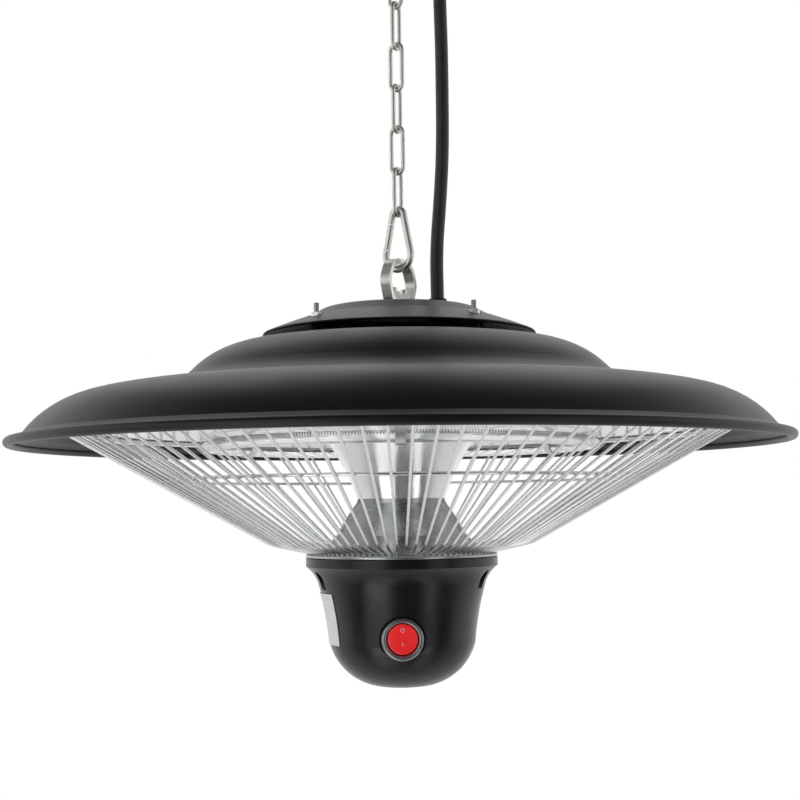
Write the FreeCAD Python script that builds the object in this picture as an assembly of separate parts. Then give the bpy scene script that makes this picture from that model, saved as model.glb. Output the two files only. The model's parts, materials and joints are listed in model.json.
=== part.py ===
"""Hanging electric patio heater: hood, guard and switch housing on a chain from a ceiling plate.

Millimetres, +Z up. The origin is the centre of the ceiling plate's top face, so everything hangs
below it. Heights of the heater's own pieces are measured from its rim and named with _H.
"""

import FreeCAD
import Part
import math
import os

V = FreeCAD.Vector
ORIGIN = V(0, 0, 0)
UP = V(0, 0, 1)
FRONT = V(0, -1, 0)

# Clearances
JOINT_GAP = 0.3
LINK_GAP = 0.1
SEAT_GAP = 0.05
BORE_GAP = 0.1

# Ceiling plate and its hook
PLATE_R = 45.0
PLATE_T = 4.0
PLATE_CHAMFER = 1.0
PLATE_HOLES = 3
PLATE_HOLE_R = 2.75
PLATE_PCD = 70.0
PLATE_HOLE_TURN = 90.0
SINK_R = 5.0
SINK_DEPTH = 2.2
HOOK_WIRE_R = 2.0
HOOK_BOWL_R = 9.0
HOOK_DROP = 37.0
HOOK_NECK_RISE = 15.0
HOOK_SHOULDER_RISE = 7.0
HOOK_TIP_RISE = 5.0
HOOK_BEND_R = 5.0
HOOK_NUT_FLATS = 10.0
HOOK_NUT_T = 5.0

# Chain
CHAIN_YAW = -30.0
LINKS = 6
LINK_WIRE_R = 1.25
LINK_INNER = 24.0
LINK_WIDTH = 5.0

# Snap hook
CAR_WIRE_R = 2.0
CAR_INNER = 30.0
CAR_TOP_R = 3.5
CAR_FOOT_R = 8.0
GATE_PIVOT_RISE = 9.0
GATE_STUB = 2.0
GATE_FACE = 3.2
GATE_LENGTH = 17.0
GATE_TIP_GAP = 0.5
GATE_TONGUE_T = 1.5
GATE_PIN_R = 0.7

# Hanger loop on the cap
STRAP_W = 6.0
STRAP_T = 2.5
STRAP_INNER = 25.5
STRAP_HALF = 14.5
STRAP_FOOT_HALF = 10.5
STRAP_TOP_HALF = 9.0
STRAP_WAIST_RISE = 11.0
STRAP_TOP_BEND = 9.0
STRAP_SIDE_BEND = 7.0
STRAP_FOOT_BEND = 2.0
STRAP_FOOT_GAP = 2.0
STRAP_SEAT_GAP = 1.0
HANGER_BOLT_R = 2.0
HANGER_BOLT_AT = 5.6
HANGER_NUT_FLATS = 7.0
HANGER_NUT_T = 3.6
HANGER_HEAD_T = 2.8
HANGER_STUB = 2.4
WASHER_R = 5.0
WASHER_T = 3.0

# Cap over the vent: runs outwards from its flat top, rises from its brim
SHEET = 1.2
VENT_GAP = 7.3
CAP_FLAT_R = 39.0
CAP_RISE = 14.2
CAP_CROWN_RUN = 7.0
CAP_CROWN_RISE = 11.9
CAP_NECK_RUN = 5.0
CAP_NECK_RISE = 9.1
CAP_BRIM_RUN = 24.5
CAP_BULGE = 0.2
CAP_CROWN_BULGE = 0.58
CAP_LIP_OUT = 0.5
CAP_LIP_DROP = 0.7
CAP_SEAT_RISE = 5.0
CAP_SEAT_R = 4.0
CAP_SCREWS = 4
CAP_SCREW_RUN = 8.0
CAP_SCREW_TURN = 42.0
CAP_SCREW_R = 1.5
CAP_SCREW_HEAD_R = 2.8
CAP_SCREW_HEAD_T = 2.0
CAP_SCREW_STUB = 5.2
CAP_NUT_FLATS = 5.5
CAP_NUT_T = 2.4
SPACER_R = 3.0

# Hood: runs inwards from its rim or from the step, each rise from the level below
RIM_R = 212.5
BEAD_R = 2.5
BEAD_H = 0.9
LIP_RUN = 9.0
LIP_H = 6.0
SKIRT_RUN = 42.5
SKIRT_RISE = 21.6
SKIRT_MID_RUN = 21.5
SKIRT_MID_RISE = 12.4
SHELF_R = 124.3
SHELF_RISE = 3.4
FLARE_SHARE = 0.98
DOME_FOOT_RUN = 9.2
DOME_FOOT_RISE = 9.7
SHOULDER_RUN = 32.3
SHOULDER_RISE = 13.8
DOME_MID_RUN = 15.5
DOME_MID_RISE = 5.6
VENT_R = 48.0

# Crossed bars under the vent
SPIDER_W = 16.0
SPIDER_T = 2.0
SPIDER_OVER = 8.0

# Reflector dish, heights from the rim
DISH_SHEET = 1.0
DISH_RIM_GAP = 28.5
DISH_FLANGE_W = 19.0
DISH_TOP_R = 66.0
DISH_TOP_H = 26.0
DISH_KNEE_RUN = 24.0
DISH_KNEE_DROP = 1.0
DISH_MID_OUT = 12.5
DISH_MID_RISE = 10.1
DISH_BORE_R = 9.0
STUDS = 4
STUD_RUN = 14.0
STUD_WIRE = 12
STUD_R = 2.0
STUD_SPACER_R = 4.0
CLIP_W = 7.0
CLIP_T = 1.0
CLIP_TAB = 8.0
CLIP_NUT_FLATS = 7.0
CLIP_NUT_T = 3.2
STUD_STUB = 1.5

# Wire guard, heights from the rim
WIRES = 96
WIRE_R = 0.75
WIRE_DISH_GAP = 2.0
WIRE_END = 4.0
CONE_H = 4.8
CONE_FOOT_R = 72.0
CONE_FOOT_H = -54.2
WIRE_FOOT_R = 51.0
WIRE_FOOT_H = -58.7
WIRE_BEND_R = 25.0
TOP_RING_R = 1.5
MID_RING_AT = 132.8
MID_RING_R = 0.9
FOOT_RING_IN = 0.8
FOOT_RING_R = 1.1

# Polished core, heights from the rim
CORE_SHEET = 1.0
WAIST_R = 24.0
WAIST_H = -29.6
BELL_GAP = 0.8
BELL_MID_RUN = 10.9
BELL_MID_H = -52.3
BELL_BASE_T = 2.0
BELL_BASE_W = 8.9
CONE_TOP_R = 62.0
CONE_FLANGE_W = 4.0
UPPER_MID_R = 34.0
UPPER_MID_H = -8.0
TUBE_R = 8.0
TUBE_BORE_R = 6.5
TUBE_NUT_FLATS = 22.0
TUBE_NUT_T = 4.0
TUBE_STUB = 4.0

# Ring lamp, heights from the rim
LAMP_AT = 105.0
LAMP_H = 1.6
LAMP_R = 5.0
LAMP_WALL = 1.0
LAMP_GAP_DEG = 14.0
LAMP_CAP_R = 7.0
LAMP_CAP_DEG = 9.0
LAMP_SOCKET_DEG = 4.0
FILAMENT_R = 1.2
LAMP_CLIPS = 3
LAMP_CLIP_W = 5.0
LAMP_CLIP_T = 1.0
LAMP_STEM_W = 3.0
LAMP_LEAD_DEG = 4.0

# Control housing, heights from the rim
WALL = 2.5
FLANGE_OVER = 1.0
FLANGE_T = 4.6
NECK_HOLLOW = 0.8
NECK_RUN = 6.5
NECK_DROP = 13.2
SIDE_RUN = 6.3
SIDE_DROP = 46.0
SIDE_HOLLOW = 0.9
CORNER_MID_RUN = 5.8
CORNER_MID_DROP = 58.0
BASE_RUN = 22.0
BASE_DROP = 68.8
TIP_R = 6.0
TIP_DROP = 70.0
BASE_BULGE = 0.5
MOUTH_RUN = 8.8
LID_T = 2.0
LID_LEDGE = 3.0
POCKETS = (-68.0, 68.0, 180.0)
POCKET_RUN = 6.2
POCKET_R = 3.6
POCKET_ROOF = 5.2
POCKET_DEPTH = 11.5
POCKET_WALL = 2.0
HOUSING_SCREW_R = 1.5
HOUSING_SCREW_HEAD_R = 2.9
HOUSING_SCREW_HEAD_T = 2.0

# Round rocker switch in the housing's front
SWITCH_DROP = 41.7
SWITCH_FLAT_IN = 2.0
SWITCH_RECESS_R = 12.4
SWITCH_PAD_T = 3.0
BEZEL_R = 11.3
BEZEL_T = 1.8
SWITCH_BODY_R = 10.0
SWITCH_BODY_L = 16.0
SWITCH_BORE_R = 8.35
SWITCH_BORE_L = 9.0
ROCKER_R = 7.85
ROCKER_T = 5.0
ROCKER_TILT = 7.0
ROCKER_SINK = -0.4
ROCKER_PIN_R = 0.75
BLADE_W = 4.8
BLADE_T = 0.8
BLADE_L = 8.0
BLADE_AT = 4.0

# Mains lead and what it passes through
LEAD_R = 3.8
LEAD_Y = 20.0
BUSH_RISE = 8.5
BUSH_FOOT = 14.0
BUSH_TIP_R = 5.2
BUSH_ROOT_R = 6.6
BUSH_FLANGE_R = 8.5
BUSH_FLANGE_T = 2.0
LEAD_BOTTOM_X = 22.2
LEAD_TOP_X = 24.8
CEILING_BUSH_R = 9.0
CEILING_BUSH_L = 14.0
LEAD_LOWER_ROUTE = ((21.8, 20.0, 36.0), (24.6, 19.7, 68.0), (26.3, 19.9, 96.0))
LEAD_JOIN = (26.4, 20.0, 114.0)
LEAD_JOIN_RUN = 32.0
LEAD_UPPER_BEND = (25.9, 20.2, 182.0)
BLOCK_SIZE = (26.0, 16.0, 12.0)
BLOCK_AT = (-29.0, 0.0)


# Levels that follow from the sizes above
HOOK_SEAT_Z = -PLATE_T - HOOK_DROP
LINK_STEP = LINK_INNER - LINK_GAP
LINK_TOP_Z = HOOK_SEAT_Z + JOINT_GAP
CAR_TOP_Z = LINK_TOP_Z - LINKS * LINK_STEP
CAR_FOOT_Z = CAR_TOP_Z - CAR_INNER - CAR_WIRE_R
CAP_TOP_Z = CAR_FOOT_Z + CAR_WIRE_R + STRAP_SEAT_GAP - STRAP_INNER
LIP_R = RIM_R - LIP_RUN
SKIRT_R = RIM_R - SKIRT_RUN
SKIRT_H = LIP_H + SKIRT_RISE
SKIRT_MID_R = RIM_R - SKIRT_MID_RUN
SKIRT_MID_H = LIP_H + SKIRT_MID_RISE
SHELF_H = SKIRT_H + SHELF_RISE
DOME_FOOT_R = SHELF_R - DOME_FOOT_RUN
DOME_FOOT_H = SHELF_H + DOME_FOOT_RISE
DOME_MID_R = SHELF_R - DOME_MID_RUN
DOME_MID_H = DOME_FOOT_H + DOME_MID_RISE
SHOULDER_R = SHELF_R - SHOULDER_RUN
PLATEAU_H = DOME_FOOT_H + SHOULDER_RISE
CAP_CROWN_R = CAP_FLAT_R + CAP_CROWN_RUN
CAP_NECK_R = CAP_CROWN_R + CAP_NECK_RUN
CAP_BRIM_R = CAP_NECK_R + CAP_BRIM_RUN
CAP_BRIM_H = PLATEAU_H + VENT_GAP
CAP_NECK_H = CAP_BRIM_H + CAP_NECK_RISE
CAP_CROWN_H = CAP_BRIM_H + CAP_CROWN_RISE
CAP_TOP_H = CAP_BRIM_H + CAP_RISE
CAP_SEAT_H = CAP_BRIM_H + CAP_SEAT_RISE
CAP_SCREW_PCR = CAP_NECK_R + CAP_SCREW_RUN
RIM_Z = CAP_TOP_Z - CAP_TOP_H
DISH_R = RIM_R - DISH_RIM_GAP
DISH_FLANGE_R = DISH_R - DISH_FLANGE_W
DISH_KNEE_R = DISH_TOP_R + DISH_KNEE_RUN
DISH_KNEE_H = DISH_TOP_H - DISH_KNEE_DROP
DISH_MID_R = (DISH_KNEE_R + DISH_FLANGE_R) / 2 + DISH_MID_OUT
STUD_PCR = DISH_R - STUD_RUN
STUD_TURN = 360.0 / WIRES * STUD_WIRE - 90
WIRE_TOP_R = DISH_R - WIRE_DISH_GAP
CONE_R = WIRE_TOP_R - WIRE_END
CONE_SLOPE = math.atan2(CONE_H - CONE_FOOT_H, CONE_R - CONE_FOOT_R)
TOP_RING_OFF = WIRE_R + TOP_RING_R + SEAT_GAP
TOP_RING_AT = CONE_R - TOP_RING_OFF * math.sin(CONE_SLOPE)
TOP_RING_H = CONE_H + TOP_RING_OFF * math.cos(CONE_SLOPE)
DISH_FLANGE_H = TOP_RING_H + TOP_RING_R + SEAT_GAP
DISH_MID_H = DISH_FLANGE_H + DISH_MID_RISE
FOOT_SLOPE = math.atan2(CONE_FOOT_H - WIRE_FOOT_H, CONE_FOOT_R - WIRE_FOOT_R)
FOOT_RING_AT = WIRE_FOOT_R + FOOT_RING_IN
FOOT_RING_OFF = (WIRE_R + FOOT_RING_R + SEAT_GAP) / math.cos(FOOT_SLOPE)
FOOT_RING_H = WIRE_FOOT_H + (FOOT_RING_AT - WIRE_FOOT_R) * math.tan(FOOT_SLOPE) - FOOT_RING_OFF
FLANGE_H = FOOT_RING_H - FOOT_RING_R - SEAT_GAP
FLANGE_R = FOOT_RING_AT + FLANGE_OVER
NECK_R = FLANGE_R - NECK_RUN
SIDE_R = NECK_R - SIDE_RUN
CORNER_MID_R = SIDE_R - CORNER_MID_RUN
BASE_R = SIDE_R - BASE_RUN
MOUTH_R = FLANGE_R - MOUTH_RUN
POCKET_AT = FLANGE_R - POCKET_RUN
SWITCH_FLAT_Y = SWITCH_FLAT_IN - SIDE_R
BELL_R = FOOT_RING_AT - FOOT_RING_R - BELL_GAP
BELL_MID_R = BELL_R - BELL_MID_RUN
BELL_BASE_IN = BELL_R - BELL_BASE_W
CONE_FLANGE_R = CONE_TOP_R + CONE_FLANGE_W
SWITCH_Z = RIM_Z + FLANGE_H - SWITCH_DROP
CEILING_BUSH_Z = -PLATE_T - CEILING_BUSH_L

parts = {}


def at_rim(radius, height):
    """A point of a spun outline: radius from the axis, height from the rim."""
    return V(radius, 0, RIM_Z + height)


def turned(shape, degrees):
    """The shape turned about the vertical axis."""
    copy = shape.copy()
    copy.rotate(ORIGIN, UP, degrees)
    return copy


def around(shape, count, start=0.0):
    """Separate copies of a shape, evenly spaced about the vertical axis."""
    return Part.makeCompound([turned(shape, start + 360.0 * i / count) for i in range(count)])


def tube(outer, inner, length, base, axis=UP):
    """A straight round tube."""
    solid = Part.makeCylinder(outer, length, base, axis)
    return solid.cut(Part.makeCylinder(inner, length, base, axis))


def hexagon(flats, thickness, base, bore=0.0, turn=0.0):
    """A hexagon prism standing on base, with a round bore if one is given."""
    radius = flats / math.sqrt(3)
    angles = [math.radians(turn + 60 * i) for i in range(7)]
    corners = [base + V(radius * math.cos(a), radius * math.sin(a), 0) for a in angles]
    solid = Part.Face(Part.makePolygon(corners)).extrude(V(0, 0, thickness))
    if bore:
        solid = solid.cut(Part.makeCylinder(bore, thickness, base))
    return solid


def line(start, end):
    """A straight edge."""
    return Part.LineSegment(start, end).toShape()


def bow(start, end, bulge):
    """An arc from start to end that stands out from its chord, to the right of the way along it."""
    chord = end - start
    side = V(chord.z, 0, -chord.x)
    side.normalize()
    return Part.Arc(start, (start + end) * 0.5 + side * bulge, end).toShape()


def arc(start, middle, end):
    """An arc through three points."""
    return Part.Arc(start, middle, end).toShape()


def spun(edges):
    """A solid of revolution from a closed outline."""
    return Part.Face(Part.Wire(edges)).revolve(ORIGIN, UP, 360)


def beside(edges, distance):
    """A line beside an open outline: to its left for a distance above zero."""
    return Part.Wire(edges).makeOffset2D(distance, join=1, fill=False, openResult=True)


def ends_of(edges):
    """First and last point of an open outline that runs outwards from the axis."""
    points = sorted((v.Point for e in edges for v in e.Vertexes), key=lambda p: (p.x, -p.z))
    return points[0], points[-1]


def spun_sheet(edges, wall, bead_tip=None):
    """A spun sheet of even thickness, left of the outline for a wall above zero, with a bead at a tip."""
    other = beside(edges, wall).Edges
    first, last = ends_of(edges)
    other_first, other_last = ends_of(other)
    edge = arc(last, bead_tip, other_last) if bead_tip else line(last, other_last)
    outline = edges + other + [line(first, other_first), edge]
    return spun(Part.__sortEdges__(outline))


def spun_above(edges):
    """Everything above a spun line, as a solid to cut with."""
    first, last = ends_of(edges)
    first_top = V(first.x, 0, CAP_TOP_Z)
    last_top = V(last.x, 0, CAP_TOP_Z)
    outline = edges + [line(last, last_top), line(last_top, first_top), line(first_top, first)]
    return spun(Part.__sortEdges__(outline))


def corner_arc(before, corner, after, radius):
    """First, middle and last point of the arc that rounds a corner."""
    back = (before - corner).normalize()
    ahead = (after - corner).normalize()
    half_turn = (math.pi - back.getAngle(ahead)) / 2
    inward = (back + ahead).normalize()
    first = corner + back * (radius * math.tan(half_turn))
    last = corner + ahead * (radius * math.tan(half_turn))
    return first, corner + inward * (radius / math.cos(half_turn) - radius), last


def bent_path(points, radii):
    """Straight runs with a tangent arc at each inner point."""
    edges = []
    start = points[0]
    for before, corner, after, radius in zip(points, points[1:], points[2:], radii):
        first, middle, last = corner_arc(before, corner, after, radius)
        if start.distanceToPoint(first) > 1e-6:
            edges.append(line(start, first))
        edges.append(arc(first, middle, last))
        start = last
    if start.distanceToPoint(points[-1]) > 1e-6:
        edges.append(line(start, points[-1]))
    return Part.Wire(edges)


def bent_rod(points, radii, wire_r):
    """A round wire along straight runs and tangent arcs."""
    section = Part.Wire(Part.makeCircle(wire_r, points[0], points[1] - points[0]))
    return bent_path(points, radii).makePipeShell([section], True, False)


def make_ceiling_set():
    """Plate, hook, its nut and the bush that takes the lead into the ceiling."""
    plate = Part.makeCylinder(PLATE_R, PLATE_T, V(0, 0, -PLATE_T))
    rim = [e for e in plate.Edges if abs(e.BoundBox.ZMax + PLATE_T) < 1e-6 and e.Closed]
    plate = plate.makeChamfer(PLATE_CHAMFER, rim)
    hole = Part.makeCylinder(PLATE_HOLE_R, PLATE_T, V(PLATE_PCD / 2, 0, -PLATE_T))
    sink = Part.makeCone(SINK_R, PLATE_HOLE_R, SINK_DEPTH, V(PLATE_PCD / 2, 0, -PLATE_T))
    plate = plate.cut(around(hole.fuse(sink), PLATE_HOLES, PLATE_HOLE_TURN))
    plate = plate.cut(Part.makeCylinder(HOOK_WIRE_R + BORE_GAP, PLATE_T, V(0, 0, -PLATE_T)))
    lead_hole = Part.makeCylinder(LEAD_R + BORE_GAP, PLATE_T, V(LEAD_TOP_X, LEAD_Y, -PLATE_T))
    parts["ceiling_plate"] = plate.cut(lead_hole)

    bowl_z = HOOK_SEAT_Z - HOOK_WIRE_R
    centre_z = bowl_z + HOOK_BOWL_R
    points = [
        V(0, 0, -SEAT_GAP),
        V(0, 0, centre_z + HOOK_NECK_RISE),
        V(-HOOK_BOWL_R, 0, centre_z + HOOK_SHOULDER_RISE),
        V(-HOOK_BOWL_R, 0, bowl_z),
        V(HOOK_BOWL_R, 0, bowl_z),
        V(HOOK_BOWL_R, 0, centre_z + HOOK_TIP_RISE),
    ]
    hook = bent_rod(points, [HOOK_BEND_R, HOOK_BEND_R, HOOK_BOWL_R, HOOK_BOWL_R], HOOK_WIRE_R)
    parts["ceiling_hook"] = turned(hook, CHAIN_YAW + 90)
    nut_z = -PLATE_T - HOOK_NUT_T
    parts["hook_nut"] = hexagon(HOOK_NUT_FLATS, HOOK_NUT_T, V(0, 0, nut_z), HOOK_WIRE_R + SEAT_GAP)

    base = V(LEAD_TOP_X, LEAD_Y, CEILING_BUSH_Z)
    cone = Part.makeCone(BUSH_TIP_R, CEILING_BUSH_R, CEILING_BUSH_L, base)
    bore = Part.makeCylinder(LEAD_R + BORE_GAP, CEILING_BUSH_L, base)
    parts["ceiling_bush"] = cone.cut(bore)


def make_chain():
    """Alternate links, each hung on the one above."""
    bow_r = LINK_WIDTH / 2 + LINK_WIRE_R
    straight = LINK_INNER - LINK_WIDTH
    for i in range(LINKS):
        top = LINK_TOP_Z - i * LINK_STEP - LINK_WIDTH / 2
        side = V(bow_r, 0, top - straight)
        disc = Part.Face(Part.Wire(Part.makeCircle(LINK_WIRE_R, V(bow_r, 0, top), UP)))
        foot_disc = Part.Face(Part.Wire(Part.makeCircle(LINK_WIRE_R, side, UP)))
        pieces = [
            disc.revolve(V(0, 0, top), V(0, -1, 0), 180),
            foot_disc.revolve(V(0, 0, top - straight), V(0, 1, 0), 180),
            Part.makeCylinder(LINK_WIRE_R, straight, side),
            Part.makeCylinder(LINK_WIRE_R, straight, V(-bow_r, 0, top - straight)),
        ]
        link = pieces[0].multiFuse(pieces[1:]).removeSplitter()
        parts[f"chain_link_{i + 1}"] = turned(link, CHAIN_YAW + (0 if i % 2 == 0 else 90))


def make_snap_hook():
    """Pear-shaped body, a gate on its left leg and the gate's pin."""
    low = CAR_FOOT_Z + CAR_FOOT_R
    high = CAR_TOP_Z + CAR_WIRE_R - CAR_TOP_R
    lean = math.asin((CAR_FOOT_R - CAR_TOP_R) / (high - low))
    out = V(math.cos(lean), 0, math.sin(lean))
    back = V(-out.x, 0, out.z)
    foot_left = V(0, 0, low) + back * CAR_FOOT_R
    foot_right = V(0, 0, low) + out * CAR_FOOT_R
    top_left = V(0, 0, high) + back * CAR_TOP_R
    top_right = V(0, 0, high) + out * CAR_TOP_R
    along = (top_left - foot_left).normalize()
    pivot = foot_left + along * (CAR_FOOT_Z + GATE_PIVOT_RISE - foot_left.z)
    stub_end = pivot + along * GATE_STUB
    gate_foot = pivot + along * GATE_FACE
    gate_tip = pivot + along * GATE_LENGTH
    nose = gate_tip + along * GATE_TIP_GAP

    edges = [
        line(stub_end, foot_left),
        arc(foot_left, V(0, 0, CAR_FOOT_Z), foot_right),
        line(foot_right, top_right),
        arc(top_right, V(0, 0, high + CAR_TOP_R), top_left),
        line(top_left, nose),
    ]
    section = Part.Wire(Part.makeCircle(CAR_WIRE_R, stub_end, along))
    body = Part.Wire(edges).makePipeShell([section], True, False)
    slot_w = GATE_TONGUE_T + 2 * BORE_GAP
    slot_r = CAR_WIRE_R + BORE_GAP
    slot = Part.makeCylinder(slot_r, slot_w, pivot - V(0, slot_w / 2, 0), V(0, 1, 0))
    slot = slot.fuse(Part.makeCylinder(CAR_WIRE_R + BORE_GAP, GATE_FACE, pivot, along).common(
        Part.makeBox(4 * CAR_WIRE_R, slot_w, 4 * CAR_WIRE_R + GATE_FACE,
                     pivot - V(2 * CAR_WIRE_R, slot_w / 2, 2 * CAR_WIRE_R))))
    pin_axis = V(0, 1, 0)
    pin_from = pivot - pin_axis * CAR_WIRE_R
    body = body.cut(slot)
    body = body.cut(Part.makeCylinder(GATE_PIN_R + SEAT_GAP, 2 * CAR_WIRE_R, pin_from, pin_axis))

    gate = Part.makeCylinder(CAR_WIRE_R, GATE_LENGTH - GATE_FACE, gate_foot, along)
    eye_from = pivot - pin_axis * (GATE_TONGUE_T / 2)
    eye = Part.makeCylinder(CAR_WIRE_R - BORE_GAP, GATE_TONGUE_T, eye_from, pin_axis)
    neck = Part.makeBox(2 * (CAR_WIRE_R - BORE_GAP), GATE_TONGUE_T, GATE_FACE,
                        V(-(CAR_WIRE_R - BORE_GAP), -GATE_TONGUE_T / 2, 0))
    neck.Placement = FreeCAD.Placement(pivot, FreeCAD.Rotation(UP, along)).multiply(neck.Placement)
    gate = gate.multiFuse([eye, neck]).removeSplitter()
    gate = gate.cut(Part.makeCylinder(GATE_PIN_R + SEAT_GAP, 2 * CAR_WIRE_R, pin_from, pin_axis))
    pin = Part.makeCylinder(GATE_PIN_R, 2 * CAR_WIRE_R, pin_from, pin_axis)
    parts["carabiner_body"] = turned(body, CHAIN_YAW)
    parts["carabiner_gate"] = turned(gate, CHAIN_YAW)
    parts["carabiner_pin"] = turned(pin, CHAIN_YAW)
    print("gate pivot", turned(Part.Vertex(pivot), CHAIN_YAW).Point)


def make_hanger():
    """Bent strip loop with inward feet, each bolted to the cap over a rubber washer."""
    foot_z = CAP_TOP_Z + WASHER_T + STRAP_T / 2
    top_z = CAP_TOP_Z + STRAP_INNER + STRAP_T / 2
    waist_z = foot_z + STRAP_WAIST_RISE
    left = [
        V(-STRAP_FOOT_GAP, 0, foot_z),
        V(-STRAP_FOOT_HALF, 0, foot_z),
        V(-STRAP_HALF, 0, waist_z),
        V(-STRAP_TOP_HALF, 0, top_z),
    ]
    points = left + [V(-p.x, 0, p.z) for p in reversed(left)]
    bends = [STRAP_FOOT_BEND, STRAP_SIDE_BEND, STRAP_TOP_BEND]
    half_w = STRAP_W / 2
    half_t = STRAP_T / 2
    square = ((-half_w, -half_t), (half_w, -half_t), (half_w, half_t), (-half_w, half_t), (-half_w, -half_t))
    section = Part.makePolygon([V(-STRAP_FOOT_GAP, y, foot_z + z) for y, z in square])
    strap = bent_path(points, bends + bends[::-1]).makePipeShell([section], True, False)
    bolts = []
    nuts = []
    washers = []
    under_z = CAP_TOP_Z - SHEET
    nut_z = foot_z + half_t
    reach = nut_z + HANGER_NUT_T + HANGER_STUB - under_z
    for x in (-HANGER_BOLT_AT, HANGER_BOLT_AT):
        hole = Part.makeCylinder(HANGER_BOLT_R + BORE_GAP, 2 * STRAP_T, V(x, 0, foot_z - STRAP_T))
        strap = strap.cut(hole)
        shank = Part.makeCylinder(HANGER_BOLT_R, reach, V(x, 0, under_z))
        head_base = V(x, 0, under_z - HANGER_HEAD_T)
        bolts.append(shank.fuse(hexagon(HANGER_NUT_FLATS, HANGER_HEAD_T, head_base, turn=30)))
        nuts.append(hexagon(HANGER_NUT_FLATS, HANGER_NUT_T, V(x, 0, nut_z), HANGER_BOLT_R + SEAT_GAP, 30))
        washers.append(tube(WASHER_R, HANGER_BOLT_R + BORE_GAP, WASHER_T, V(x, 0, CAP_TOP_Z)))
    turn = CHAIN_YAW + 90
    parts["hanger_strap"] = turned(strap, turn)
    parts["hanger_bolts"] = turned(Part.makeCompound(bolts), turn)
    parts["hanger_nuts"] = turned(Part.makeCompound(nuts), turn)
    parts["hanger_washers"] = turned(Part.makeCompound(washers), turn)


def make_cap():
    """Stepped hat over the vent, held on four screws with spacers in seats pressed flat."""
    flat = at_rim(CAP_FLAT_R, CAP_TOP_H)
    crown = at_rim(CAP_CROWN_R, CAP_CROWN_H)
    neck = at_rim(CAP_NECK_R, CAP_NECK_H)
    brim = at_rim(CAP_BRIM_R, CAP_BRIM_H)
    tip = at_rim(CAP_BRIM_R + CAP_LIP_OUT, CAP_BRIM_H - CAP_LIP_DROP)
    edges = [
        line(at_rim(0, CAP_TOP_H), flat),
        bow(flat, crown, -CAP_CROWN_BULGE),
        line(crown, neck),
        bow(neck, brim, -CAP_BULGE),
        line(brim, tip),
    ]
    cap = spun_sheet(edges, -SHEET)
    tip_axis = V(0, 0, tip.z)
    block = spun(edges + [line(tip, tip_axis), line(tip_axis, at_rim(0, CAP_TOP_H))])
    seat_base = at_rim(CAP_SCREW_PCR, CAP_SEAT_H - SHEET)
    cup = Part.makeCylinder(CAP_SEAT_R + SHEET, CAP_TOP_H - CAP_SEAT_H, seat_base).common(block)
    sink = Part.makeCylinder(CAP_SEAT_R, CAP_TOP_H - CAP_SEAT_H, at_rim(CAP_SCREW_PCR, CAP_SEAT_H))
    screw_hole = Part.makeCylinder(CAP_SCREW_R + BORE_GAP, CAP_TOP_H, at_rim(CAP_SCREW_PCR, PLATEAU_H))
    cap = cap.fuse(around(cup, CAP_SCREWS, CAP_SCREW_TURN).Solids)
    spacer_l = CAP_SEAT_H - SHEET - PLATEAU_H
    spacer_room = Part.makeCylinder(SPACER_R + BORE_GAP, spacer_l, at_rim(CAP_SCREW_PCR, PLATEAU_H))
    holes = around(sink.multiFuse([screw_hole, spacer_room]), CAP_SCREWS, CAP_SCREW_TURN).Solids
    hole_z = CAP_TOP_Z - 2 * SHEET
    for x in (-HANGER_BOLT_AT, HANGER_BOLT_AT):
        bolt_hole = Part.makeCylinder(HANGER_BOLT_R + BORE_GAP, 4 * SHEET, V(x, 0, hole_z))
        holes.append(turned(bolt_hole, CHAIN_YAW + 90))
    holes.append(Part.makeCylinder(BUSH_ROOT_R + BORE_GAP, 4 * SHEET, V(LEAD_BOTTOM_X, LEAD_Y, hole_z)))
    parts["top_cap"] = cap.cut(holes).removeSplitter()

    under = PLATEAU_H - SHEET - SPIDER_T
    top = CAP_SEAT_H + CAP_NUT_T + CAP_SCREW_STUB
    screw = Part.makeCylinder(CAP_SCREW_R, top - under, at_rim(CAP_SCREW_PCR, under))
    head_base = at_rim(CAP_SCREW_PCR, under - CAP_SCREW_HEAD_T)
    screw = screw.fuse(Part.makeCylinder(CAP_SCREW_HEAD_R, CAP_SCREW_HEAD_T, head_base))
    nut = hexagon(CAP_NUT_FLATS, CAP_NUT_T, at_rim(CAP_SCREW_PCR, CAP_SEAT_H), CAP_SCREW_R + SEAT_GAP)
    spacer = tube(SPACER_R, CAP_SCREW_R + BORE_GAP, spacer_l, at_rim(CAP_SCREW_PCR, PLATEAU_H))
    parts["cap_screws"] = around(screw, CAP_SCREWS, CAP_SCREW_TURN)
    parts["cap_nuts"] = around(nut, CAP_SCREWS, CAP_SCREW_TURN)
    parts["cap_spacers"] = around(spacer, CAP_SCREWS, CAP_SCREW_TURN)


def bead_middle():
    """Centre of the rolled bead's section."""
    return at_rim(RIM_R - BEAD_R, BEAD_H)


def bead_back(lip):
    """Way from the bead's centre back along the sheet that rolls into it, for a lip on the outside."""
    away = lip - bead_middle()
    lean = math.asin(SHEET / 2 / away.Length)
    return FreeCAD.Rotation(V(0, 1, 0), math.degrees(lean)).multVec(away).normalize()


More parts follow.
